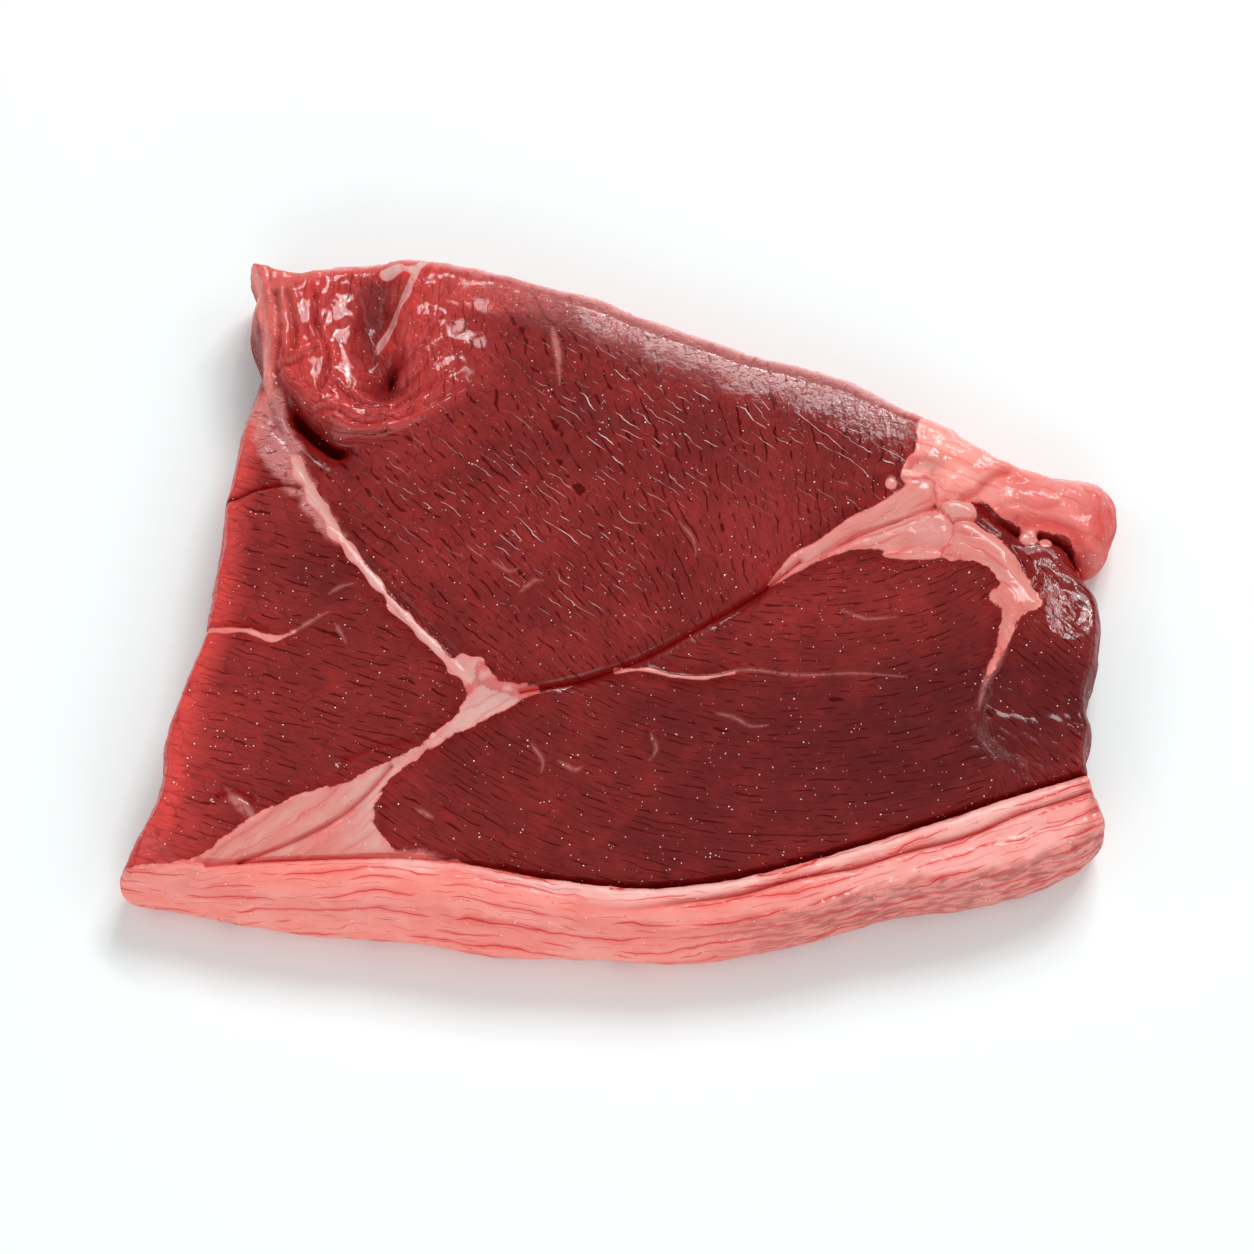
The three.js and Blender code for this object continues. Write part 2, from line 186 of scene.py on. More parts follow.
def even_loop(points, step):
    """The closed curve through the points, with vertices at even distances of about step."""
    loop = smooth_curve(points, True, 0.3)
    loop = np.vstack([loop, loop[:1]])
    run = np.concatenate([[0], np.cumsum(np.linalg.norm(np.diff(loop, axis=0), axis=1))])
    wanted = np.linspace(0, run[-1], round(run[-1] / step), endpoint=False)
    return np.stack([np.interp(wanted, run, loop[:, k]) for k in (0, 1)], axis=1)


def nearest_on(places, ends):
    """Signed distance from each place to a line, and the length along it of the nearest point."""
    start, along = ends[:-1], np.diff(ends, axis=0)
    squared = (along**2).sum(1)
    length = np.sqrt(squared)
    run = np.concatenate([[0], np.cumsum(length)])
    distance = np.empty(len(places))
    travelled = np.empty(len(places))
    for at in range(0, len(places), BLOCK):
        block = places[at : at + BLOCK]
        dx = block[:, :1] - start[None, :, 0]
        dy = block[:, 1:] - start[None, :, 1]
        share = np.clip((dx * along[:, 0] + dy * along[:, 1]) / squared, 0, 1)
        squares = (dx - share * along[:, 0]) ** 2 + (dy - share * along[:, 1]) ** 2
        nearest = squares.argmin(1)
        rows = np.arange(len(block))
        cross = along[nearest, 0] * dy[rows, nearest] - along[nearest, 1] * dx[rows, nearest]
        distance[at : at + BLOCK] = np.sqrt(squares[rows, nearest]) * np.where(cross >= 0, 1, -1)
        travelled[at : at + BLOCK] = run[nearest] + share[rows, nearest] * length[nearest]
    return distance, travelled


def from_line(places, line, closed=False):
    """Signed distance from a line, positive on its left, and the length run; roughly, where it is far."""
    ends = np.vstack([line, line[:1]]) if closed else line
    low, high = ends.min(0) - NEAR, ends.max(0) + NEAR
    near = ((places > low) & (places < high)).all(1)
    coarse = ends[np.unique(np.append(np.arange(0, len(ends), FAR_STEP), len(ends) - 1))]
    distance = np.empty(len(places))
    travelled = np.empty(len(places))
    distance[near], travelled[near] = nearest_on(places[near], ends)
    distance[~near], travelled[~near] = nearest_on(places[~near], coarse)
    return distance, travelled


def depth_inside(places, loop):
    """Each place's distance from a closed loop, positive inside it."""
    distance = np.abs(from_line(places, loop, closed=True)[0])
    inside = np.zeros(len(places), bool)
    for (ax, ay), (bx, by) in zip(loop, np.roll(loop, -1, axis=0)):
        crosses = (ay > places[:, 1]) != (by > places[:, 1])
        if ay != by:
            inside ^= crosses & (places[:, 0] < ax + (places[:, 1] - ay) / (by - ay) * (bx - ax))
    return np.where(inside, distance, -distance)


def beside(places, points):
    """Signed distance of each place from the curve through the points, and the length run along it."""
    return from_line(places, smooth_curve(points))


def within(places, points):
    """Depth of each place inside the closed curve through the points."""
    return depth_inside(places, smooth_curve(points, closed=True))


def strip(places, points, start, end):
    """A tapering strip: the share of it run, its half-width there, and the distance from its middle."""
    line = smooth_curve(points)
    off, run = from_line(places, line)
    share = run / np.linalg.norm(np.diff(line, axis=0), axis=1).sum()
    return share, start + (end - start) * share, np.abs(off)


def smooth(low, high, value):
    """0 at low and 1 at high, with a smooth step between, whichever of them is the higher."""
    t = np.clip((value - low) / (high - low), 0, 1)
    return t * t * (3 - 2 * t)


def bell(value, width):
    return np.exp(-((value / width) ** 2))


def turned(places, turn):
    """The places laid out along and across a direction."""
    cos, sin = math.cos(turn), math.sin(turn)
    x, y = places.T
    return np.stack([x * cos + y * sin, y * cos - x * sin], axis=1)


def bump_at(places, x, y, reach, stretch=1.0, turn=0.0):
    """A round hill of height 1 at [x, y], stretched along an axis turned by so many radians."""
    along, across = turned(places - (x, y), turn).T
    return np.exp(-((along / (reach * stretch)) ** 2) - (across / reach) ** 2)


def hills(places, rows):
    """The sum of round hills: x, y, reach and rise of each, then its stretch and turn if it has them."""
    return sum(rise * bump_at(places, x, y, reach, *shape) for x, y, reach, rise, *shape in rows)


def quarter_round(depth, width):
    """Rise from 0 at an edge to 1 at width inside it, along a quarter of an ellipse."""
    t = np.clip(depth / width, 0, 1)
    return np.sqrt(1 - (1 - t) ** 2)


def ripples(places, size, seed):
    """Smooth random highs and lows of about the given size, from -1 to 1."""
    rng = np.random.default_rng(seed)
    waves = 9
    total = np.zeros(len(places))
    for _ in range(waves):
        turn = rng.uniform(0, 2 * math.pi)
        wave = 2 * math.pi / (size * rng.uniform(0.7, 1.6))
        phase = rng.uniform(0, 2 * math.pi)
        total += np.sin((places[:, 0] * math.cos(turn) + places[:, 1] * math.sin(turn)) * wave + phase)
    return total / (waves / 2)


# --------------------------------------------------------------------------------------------------
# The steak's forms: how deep inside each one a place lies, and how high the cut face is there
PALE_LINE = [(-2.5, -20.3), (5, -20.2), (10, -21.5), (17.4, -22), (24, -20.8)]
FORK_TAIL_GAP = [
    (79, 20.5), (82, 17.6), (86, 14.8), (90.5, 13.4), (95, 12.6), (99, 10.8), (102, 7), (106, 4),
]
LOWER_CAP_GAP = [
    (-92, -65.2), (-71.4, -64), (-49.5, -63.6), (-34.2, -65), (-14.5, -68.3), (2.9, -70), (24.8, -67.6),
    (51.1, -60.4), (82.1, -50.2), (106, -42.6),
]
WEDGE_GAP = [(-51.8, -42.5), (-57, -48.8), (-62.5, -53.8), (-69, -57.8), (-76, -61.2), (-85, -64.4)]
SWELLS = [  # x, y, reach, rise
    (5, 32, 46, 1.6),
    (-58, 4, 20, -1.0),
    (-72, -28, 26, 0.8),
    (18, -42, 40, -0.6),
    (70, -14, 20, -0.8),
    (97, -9, 13, 1.9),
]
BACK_SLOPE = [(-22, 90), (-14, 62), (10, 50), (40, 38), (66, 30), (80, 40), (90, 60), (40, 100)]
EDGE_FALL = 3.2  # how fast a form drops away outside its own outline, per millimetre
JOIN = 0.35  # softness of the creases where forms meet
CAP_RUN = 222.0  # length of the fat cap

LEAN_FORMS = {  # outline, top under the cut face, width of the edge's rounding, drop at the edge
    "upper": (UPPER, 0.0, 4.0, 1.2),
    "left": (LEFT, 0.8, 2.0, 0.4),
    "lower": (LOWER, 1.6, 1.6, 0.5),
    "right": (RIGHT, 1.4, 4.0, 1.3),
}
FAT_FORMS = {
    "lower_seam": (LOWER_SEAM, 1.5, 2.2, 0.8),
    "wedge": (WEDGE, 1.9, 2.2, 0.8),
    "upper_lobe": (UPPER_LOBE, 0.5, 2.4, 1.2),
    "middle_lobe": (MIDDLE_LOBE, 0.8, 2.6, 1.3),
    "sliver": (SLIVER, 1.5, 1.2, 0.6),
    "nodule": (NODULE, 0.3, 2.0, 1.2),
    "petal": (PETAL, 0.4, 1.8, 1.0),
    "arched_lobe": (ARCHED_LOBE, 0.7, 3.0, 1.6),
}
NODULES = [(59.6, 23.8, 1.3), (63.2, 25.6, 1.1), (90.8, 12.4, 2.1), (94.6, 11.2, 1.5)]  # x, y, radius
WET_PATCHES = [  # x, y, reach, stretch and turn of patches that lie level enough to mirror the main light
    (-64.8, 67.6, 3.0, 1.7, 1.57),
    (-65.2, 59.8, 2.4, 1.5, 0.9),
    (-63.4, 51.4, 2.3, 2.1, 1.75),
    (-71.0, 52.6, 2.5, 1.6, 1.75),
    (-73.4, 65.6, 1.9, 2.4, 1.5),
    (-69.6, 65.0, 1.0, 2.0, 1.5),
    (-78.2, 63.0, 1.3, 3.2, 1.6),
    (-81.6, 64.0, 1.1, 3.6, 1.55),
    (95.0, 3.6, 3.2, 1.5, -0.6),
    (95.9, -3.6, 4.0, 1.7, -1.1),
    (96.8, -11.0, 2.4, 1.6, -0.7),
]
FLAP_FOLDS = [  # creases between the flap's folds: points, depth and width
    ([(-80.6, 70.5), (-79.6, 65), (-79.2, 59.5), (-79.8, 53.5), (-79.4, 48.5)], 1.7, 1.0),
    ([(-77.6, 70), (-76.8, 65.5), (-75.6, 60.5), (-75.9, 56.5)], 1.5, 0.9),
    ([(-71.6, 69.5), (-71.3, 64), (-70, 59.5), (-68.4, 56.8), (-68.2, 51), (-69.2, 46.5)], 1.4, 0.9),
    ([(-82, 51), (-78, 52), (-74, 53.4), (-70.6, 56.6)], 0.9, 0.8),
    ([(-72, 41.5), (-66.5, 41), (-61, 38.2), (-54, 38.4), (-46, 42), (-38, 47.4)], 1.1, 0.9),
    ([(-66.8, 47.5), (-61, 43), (-54.5, 42.6), (-47, 46), (-38.5, 52.5)], 1.0, 0.9),
    ([(-60.5, 46.8), (-54, 46.4), (-47.5, 50.5), (-41.5, 57.5)], 0.9, 0.8),
    ([(-50.5, 53), (-46, 58), (-42.5, 64)], 0.7, 0.7),
]
# points, depth, width to the left and to the right, darkness of the painted shade, width of its dark line
# where it is narrower
GROOVES = [
    (FORK_SEAM, 1.5, 0.6, 0.9, 0.9, 0.5),
    (WEDGE_GAP, 1.3, 0.7, 0.6, 0.8, 0.5),
    ([(75.8, 20.7), (78.8, 22.7), (81.1, 25.1), (83.5, 27), (86.2, 28)], 1.3, 0.9, 0.9, 0.6, None),
    ([(84, 19.5), (88.5, 20.6), (93, 19.4), (97.5, 20.2)], 0.9, 0.8, 0.8, 0.3, None),
    ([(-97, 20.8), (-89, 20.6), (-83.2, 23.2), (-77.2, 24.2), (-73.8, 23.6)], 1.2, 0.8, 0.8, 0.9, None),
    ([(-96, -10.4), (-88, -9.8), (-80, -11.2)], 0.7, 0.6, 0.6, 0.5, None),
    ([(-90, -50), (-86, -48.6), (-82, -50.5)], 0.9, 0.9, 0.9, 0.6, None),
    ([(-63, -42), (-55, -38.5), (-47, -36.8)], 0.8, 0.8, 0.8, 0.4, None),
]
HOLLOW_LUMPS = [
    (-57.5, 73, 2.2, 1.1),
    (-55, 68.5, 1.8, 0.8),
    (-58.2, 66.5, 1.9, 1.0),
    (-56.6, 61.5, 1.8, 0.8),
]
BED = 2.6  # how far under the cut face the gaps between the forms are closed
THIN_FAT = [  # points, half-width at start and end
    (UPPER_SEAM, 1.5, 0.9),
    ([(-36, -20), (-31, -24.5), (-25, -25.5), (-20, -25.2)], 3.0, 0.8),
    (MEMBRANE_EDGE, 0.8, 1.1),
    ([(-55.5, 76.4), (-52, 76.8), (-48.5, 76)], 1.7, 1.4),
    ([(-95, -11.5), (-88, -11), (-84, -11.2)], 0.8, 0.6),
    ([(-84, -11.2), (-80.5, -12.8), (-78, -13.2), (-74, -11.4)], 0.8, 0.5),
    (PALE_LINE, 0.55, 0.25),
]
FLECKS = [  # thin threads of connective tissue: points, half-width at start and end
    ([(-87.5, -48.5), (-84.5, -52), (-81, -55)], 1.6, 1.0),
    ([(84.8, -14), (82.3, -18), (79.5, -23.5), (78.1, -29.5)], 1.3, 0.3),
    ([(-50, -62.5), (-44, -63.2), (-37, -65)], 1.6, 0.6),
    ([(-17, 62), (-15.9, 57), (-15.4, 52), (-15.2, 48)], 1.2, 0.4),
    ([(-74, -11.4), (-70, -8.6), (-67, -6.8)], 0.6, 0.2),
    ([(-65, -9.5), (-63.8, -11.5), (-62.5, -14)], 0.5, 0.15),
    ([(-90, 19.5), (-85.5, 21.6), (-80, 23)], 0.4, 0.25),
    ([(17.4, -22), (26.3, -20.1), (38.5, -21.3), (50.8, -20.8), (62, -21.5)], 0.4, 0.15),
    ([(-66.5, -2.2), (-64.4, -0.6), (-61, 0.4)], 0.4, 0.2),
    ([(-14.6, -41.6), (-11.2, -43.4), (-9.6, -42.6)], 0.6, 0.3),
    ([(-21, -37.5), (-18.4, -41.5), (-18.8, -44)], 0.45, 0.2),
    ([(20, -30.2), (24, -31.2), (27.5, -33.2), (31, -33)], 0.4, 0.2),
    ([(5.4, -35), (6.6, -38.6), (5.2, -41)], 0.4, 0.2),
    ([(-46, -52.5), (-44.5, -53.5), (-42.5, -54.5)], 0.7, 0.4),
    ([(-23.5, -2.2), (-20.4, 0.4), (-18.8, 0.2)], 0.5, 0.2),
    ([(-30, 5), (-26, 2.5), (-24, 3.4)], 0.3, 0.15),
    ([(12, 14), (15, 10), (15.6, 6)], 0.35, 0.15),
    ([(48, -6), (54, -8), (60, -7.4)], 0.4, 0.2),
]


def soft_highest(heights):
    """The highest of the forms at each place, with soft creases where they meet."""
    heights = np.array(heights) / JOIN
    top = heights.max(0)
    return (top + np.log(np.exp(heights - top).sum(0))) * JOIN


def pillow_height(depth, top, rim, drop):
    """A form's height: its top, rounded off by drop over a rim inside its edge, and falling away outside."""
    return top - drop * (1 - quarter_round(depth, rim)) - EDGE_FALL * np.maximum(-depth, 0)


def groove_depth(run):
    """How far inside the cap the groove beside its lip lies, for a length run along it."""
    return 4.6 + 0.7 * np.sin(run / 13) + 0.3 * np.sin(run / 4.1)


def cap_forms(places):
    """The fat cap: depth inside it from the crease beside the meat, its length run, and its height."""
    side, run = beside(places, CAP_INNER)
    depth = -side
    share = run / CAP_RUN
    right_half = smooth(0.42, 0.62, share)
    top = SLICE - 3.3 + 3.5 * np.clip(share / 0.3, 0, 1) - 0.055 * np.maximum(depth, 0) ** 1.35
    top = top + 0.5 * bell(depth - 2.2, 1.6) * smooth(0.25, 0.5, share)
    lip_groove = bell(depth - groove_depth(run), 0.6) * right_half
    top = top - 1.3 * lip_groove
    top = top - 0.5 * bell(depth - 8.6 + 0.7 * np.sin(run / 9), 0.8) * smooth(0.3, 0.45, share)
    left_part = (1 - right_half) * smooth(0.03, 0.1, share)
    top = top - 0.5 * bell(depth - 3.0 - 0.5 * np.sin(run / 11), 0.7) * left_part
    return depth, run, pillow_height(depth, top, 3.0, 2.2), lip_groove


def tail_height(places, depth):
    along = np.clip((places[:, 0] - 62) / 50, 0, 1)
    top = SLICE + 0.3 - 7 * along**1.5 + 0.9 * ripples(places, 11, 5)
    top = top + 1.4 * bump_at(places, 106, 20, 7) - 1.2 * bump_at(places, 84, 30, 4, 1.6, -0.8)
    return pillow_height(depth, top, 6.0, 3.6)


def flap_window(places):
    """1 on the flap, fading to 0 to its right, where it lies flush on the upper muscle."""
    return 1 - smooth(-52, -26, places[:, 0] - 0.25 * (places[:, 1] - 50))


def hollow_run(places):
    """Distance from the bottom of the flap's hollow, signed to its right, and the length along it."""
    return beside(places, FLAP_HOLLOW)


def flap_height(places, depth, face):
    shown = flap_window(places)
    top = face - 2.0 + 4.3 * shown
    top = top + hills(places, [(-79, 66, 8, 0.6), (-68, 44, 10, 0.9), (-50, 40, 10, 0.7)])
    return pillow_height(depth, top, 4.2, 7.5)


def shape_forms(places):
    """Everything that is known of each place on the cut face, as named arrays."""
    x, y = places[:, 0], places[:, 1]
    face = SLICE + hills(places, SWELLS)
    face = face - 2.6 * smooth(0, 30, within(places, BACK_SLOPE)) ** 1.3
    face = face - 2.2 * smooth(-14, 12, y + 0.3 * (x - 96)) * smooth(84, 90, x)
    facts = {}
    heights = []
    for name, (outline, under, rim, drop) in {**LEAN_FORMS, **FAT_FORMS}.items():
        facts[name] = within(places, outline)
        heights.append(pillow_height(facts[name], face - under, rim, drop))
    facts["cap"], facts["cap_run"], cap_height, facts["lip_groove"] = cap_forms(places)
    facts["tail"] = within(places, TAIL)
    facts["flap"] = within(places, FLAP)
    heights += [cap_height, tail_height(places, facts["tail"]), flap_height(places, facts["flap"], face)]
    uneven = 1 + 0.45 * ripples(places, 6, 21)
    thin = []
    for row in THIN_FAT:
        _, half_width, off = strip(places, *row)
        thin.append(half_width * uneven - off)
    facts["thin"] = np.max(thin, axis=0)
    heights.append(pillow_height(facts["thin"], face - 1.4, 1.2, 0.5))
    facts["nodules"] = np.max([reach - np.hypot(x - cx, y - cy) for cx, cy, reach in NODULES], axis=0)
    heights.append(pillow_height(facts["nodules"], face + 0.2 - 3.8 * smooth(82, 90, x), 1.2, 1.1))
    heights.append(face - BED - 2 * np.maximum(facts["cap"] + 1.5, 0))
    facts["height"] = soft_highest(heights) - 8 * bump_at(places, -114, -70, 11)
    return facts


def level_patches(places, z):
    """Turns each wet patch of the height z to face half way between the eye and the main light."""
    for x, y, reach, stretch, turn in WET_PATCHES:
        hill = bump_at(places, x, y, reach, stretch, turn)
        level = (z * hill).sum() / hill.sum()
        plane = level - MIRROR_FALL[0] * (places[:, 0] - x) - MIRROR_FALL[1] * (places[:, 1] - y)
        hill = hill * (1 + 0.5 * ripples(places, 3.2, 51))
        z = z + (plane - z) * smooth(0.15, 0.6, hill) * 0.85
    return z


def carve_creases(places, facts):
    """Takes creases, the flap's hollow and the pocket under its lip from the height; notes how dark the
    painted shade in them is.
    """
    z = facts["height"]
    crease = 0.9 * facts["lip_groove"]
    x = places[:, 0]
    tail_side = smooth(79, 90, x)
    grooves = [(*row, 1.0) for row in GROOVES] + [
        (LOWER_CAP_GAP, 2.0, 0.75, 0.7, 1.0, 0.6, smooth(-46, -16, x)),
        (LOWER_CAP_GAP, 1.1, 0.9, 0.7, 0.9, 0.45, smooth(-108, -92, x) * (1 - smooth(-42, -8, x))),
        (FORK_TAIL_GAP, 3.0, 0.8, 1.1, 1.0, None, tail_side),
        (FORK_TAIL_GAP, 0.8, 0.8, 0.9, 0.6, None, 1 - tail_side),
    ]
    for points, depth, left_width, right_width, dark, line_width, window in grooves:
        side, _ = beside(places, points)
        shape = np.where(side > 0, bell(side, left_width), bell(side, right_width)) * window
        z = z - depth * shape
        line = bell(side, line_width) * window if line_width else shape
        crease = np.maximum(crease, line * dark)

    side, run = hollow_run(places)
    deep = (2.8 + 4.0 * smooth(0, 17, run)) * bell(np.maximum(run - 26, 0), 30)
    wide = np.where(side > 0, 3.4 + 0.08 * run, 7.5 - 0.09 * run)
    z = z - deep * bell(side, wide)
    edge, edge_run = beside(places, MEMBRANE_EDGE)
    z = z + 1.5 * smooth(-0.5, 0.6, edge) * bell(np.maximum(edge, 0), 6) * smooth(0, 4, edge_run)
    slot = bump_at(places, -53.9, 50.6, 1.2, 3.4, 1.2)
    z = z + hills(places, HOLLOW_LUMPS) - 3.4 * slot
    crease = np.maximum(crease, slot)

    flap = flap_window(places) * smooth(-1, 3, facts["flap"])
    z = z + 0.5 * ripples(places, 9, 12) * flap
    for points, depth, width in FLAP_FOLDS:
        fold, _ = beside(places, points)
        crest = bell(np.abs(fold) - 1.6 * width, 1.1 * width) * 0.35 * depth
        z = z - (depth * bell(fold, 0.62 * width) - crest) * flap
        crease = np.maximum(crease, 0.45 * bell(fold, 0.45 * width) * flap)

    lip_side, lip_run = beside(places, LIP)
    lip_window = smooth(0, 9, lip_run) * (1 - smooth(18, 23, lip_run))
    pocket = np.where(lip_side > -1.6, bell(lip_side + 1.6, 1.7), bell(lip_side + 1.6, 3.0)) * lip_window
    z = z - 5.6 * pocket
    crease = np.maximum(crease, np.minimum(1, 1.6 * pocket**1.5))
    facts["lip"] = np.where(lip_side > -0.4, bell(lip_side - 1.0, 2.2), 0) * lip_window

    facts["wet"] = np.max([smooth(0.15, 0.6, bump_at(places, *patch)) for patch in WET_PATCHES], axis=0)
    z = level_patches(places, z)
    lone = smooth(-0.6, 0.4, facts["nodules"])
    z = z * (1 - lone) + np.maximum(z, facts["height"]) * lone
    crease = crease * (1 - lone)
    facts["height"] = z
    facts["crease"] = crease
    return facts


def wall_width(places):
    """How wide the rounding is from the outline up to the cut face."""
    x, y = places[:, 0], places[:, 1]
    back = smooth(25, 50, y) * smooth(-80, -55, x)
    cap = smooth(-58, -66, y) * smooth(-112, -95, x) * (1 - 0.85 * smooth(15, 50, x))
    tail = smooth(84, 98, x) * smooth(-2, 8, y)
    return 2.6 + 5.0 * back + 6.0 * cap + 5.0 * tail


# --------------------------------------------------------------------------------------------------
# Which way the meat's bundles run: places laid out along and across them, in bundles
FLAP_TURN = 9.0  # radius at which the bundles turn round the end of the flap's hollow
FIBRE_LAYOUTS = {  # length and width of a bundle, in millimetres
    "upper": (4.6, 3.3),
    "left": (6.5, 2.7),
    "lower": (6.0, 2.2),
    "right": (5.5, 2.4),
    "flap": (5.4, 3.0),
}


def polar(places, x, y, turn_from=0.0):
    """Distance of each place from [x, y] and its turn round it, away from a direction."""
    along, across = turned(places - (x, y), turn_from).T
    return np.hypot(along, across), np.arctan2(across, along)


def bundle_layout(places, facts):
    """Places along and across the meat's bundles, a bundle to a unit."""
    x, y = places.T
    reach, turn = polar(places, 50, -84, math.radians(110))
    upper = np.stack([reach, -turn * 110], axis=1)
    reach, turn = polar(places, 39, 72, math.radians(-90))
    lower = np.stack([turn * 95, reach], axis=1)
    side, run = hollow_run(places)
    total = run.max()
    _, swing = polar(places, *FLAP_HOLLOW[-1], math.pi)
    round_end = total + np.where(swing < 0, math.pi, swing) * FLAP_TURN
    back = np.where(side < 0, run, 2 * total - run + math.pi * FLAP_TURN)
    flap = np.stack([np.where(run > total - 0.01, round_end, back), np.abs(side)], axis=1)
    layouts = dict(
        upper=upper,
        left=turned(places, math.radians(-17)),
        lower=lower,
        right=turned(places, math.radians(-42)),
        flap=flap,
    )
    bundles = {name: layout / FIBRE_LAYOUTS[name] for name, layout in layouts.items()}
    depths = np.array([facts[name] for name in LEAN_FORMS])
    grain = np.choose(depths.argmax(0)[:, None], [bundles[name] for name in LEAN_FORMS])
    blend = smooth(-3, 3, facts["right"] - facts["lower"] + 1.5)[:, None]
    near_right = (np.maximum(facts["right"], facts["lower"]) == depths.max(0)) & (y < -24) & (x > 60)
    moved = bundles["right"] - bundles["right"].mean(0) + bundles["lower"].mean(0)
    mixed = bundles["lower"] * (1 - blend) + moved * blend
    grain = np.where(near_right[:, None] & (blend < 0.999), mixed, grain)
    share = (smooth(-1.5, 4, facts["flap"]) * flap_window(places))[:, None]
    meeting = np.hypot(x + 30, y - 60).argmin()  # where the flap's layout is laid on the upper muscle's
    flap = bundles["flap"] - bundles["flap"][meeting] + bundles["upper"][meeting]
    return grain * (1 - share) + flap * share


def fat_layout(places, facts):
    """Places along and across the flow of the fat, in millimetres, and how near two of its forms meet."""
    def leaning(degrees):
        return turned(places, math.radians(degrees))

    reach, turn = polar(places, 66, -16)
    forms = [
        (facts["cap"], np.stack([facts["cap_run"], -facts["cap"]], axis=1)),
        (deepest(facts, "lower_seam", "wedge"), leaning(37)),
        (facts["upper_lobe"], leaning(33)),
        (deepest(facts, "middle_lobe", "sliver"), leaning(16)),
        (facts["nodule"], leaning(-20)),
        (facts["petal"], leaning(10)),
        (facts["arched_lobe"], np.stack([turn * 24, reach], axis=1)),
        (facts["tail"], leaning(-22)),
        (facts["thin"], leaning(-47)),
    ]
    depths = np.array([depth for depth, _ in forms])
    depths[1:] = np.minimum(depths[1:], -depths[0])  # the cap lies over all else
    flow = np.choose(depths.argmax(0)[:, None], [layout for _, layout in forms])
    two = np.sort(depths, axis=0)[-2:]
    border = np.minimum(1, 1.9 * bell(two[1] - two[0], 1.1)) * smooth(-1.8, -0.8, two[0])
    return flow, border


SEAMS = ("thin", "lower_seam", "wedge")
LOBES = ("upper_lobe", "middle_lobe", "sliver", "nodule", "nodules")
FAT_BLEND = 0.9  # softness with which the wide forms of fat run together
# hills of a finish's share: x, y, reach, rise, stretch and turn
BRIGHT_CORNER = [(-100, -58, 10, 0.6), (-95, -36, 6, 0.4, 2.2, 1.35)]
DARK_PARTS = [
    (74, -26, 26, 0.7),
    (5, -58, 45, 0.5, 1.4),
    (-10, 22, 45, 0.25),
    (-68, 4, 12, 0.45),
    (-70, -42, 14, 0.3),
    (94, -30, 12, 0.35),
    (48, 36, 20, 0.45),
    (42, -34, 26, 0.35, 1.5),
    (96, -24, 12, 0.4),
    (66, -38, 18, 0.35, 1.5, 0.3),
    (48, -8, 16, -0.4, 1.6),
]
GLINT_PARTS = [
    (-15, 9, 15, 1.0, 1.3, -0.6),
    (0, 38, 16, 0.9, 1.4, -0.5),
    (52, 38, 14, 1.0, 1.6, -0.6),
    (-45, 22, 12, 0.6),
    (28, 44, 14, 0.5),
]
# the tail's end and lower edge painted dark red: partly lean showing on its underside, partly painted shade
REDDENED_AND_SHADED_PARTS = [(110, 17, 7.5, 1.0, 1.8, 1.4), (92, 23, 8, 0.55, 1.6, -0.4)]


def deepest(facts, *names):
    """Depth inside whichever of the named forms each place lies deepest in."""
    return np.max([facts[name] for name in names], axis=0)


def on_form(facts, *names):
    """1 on the named forms and 0 off them."""
    return smooth(-1, 1, deepest(facts, *names))


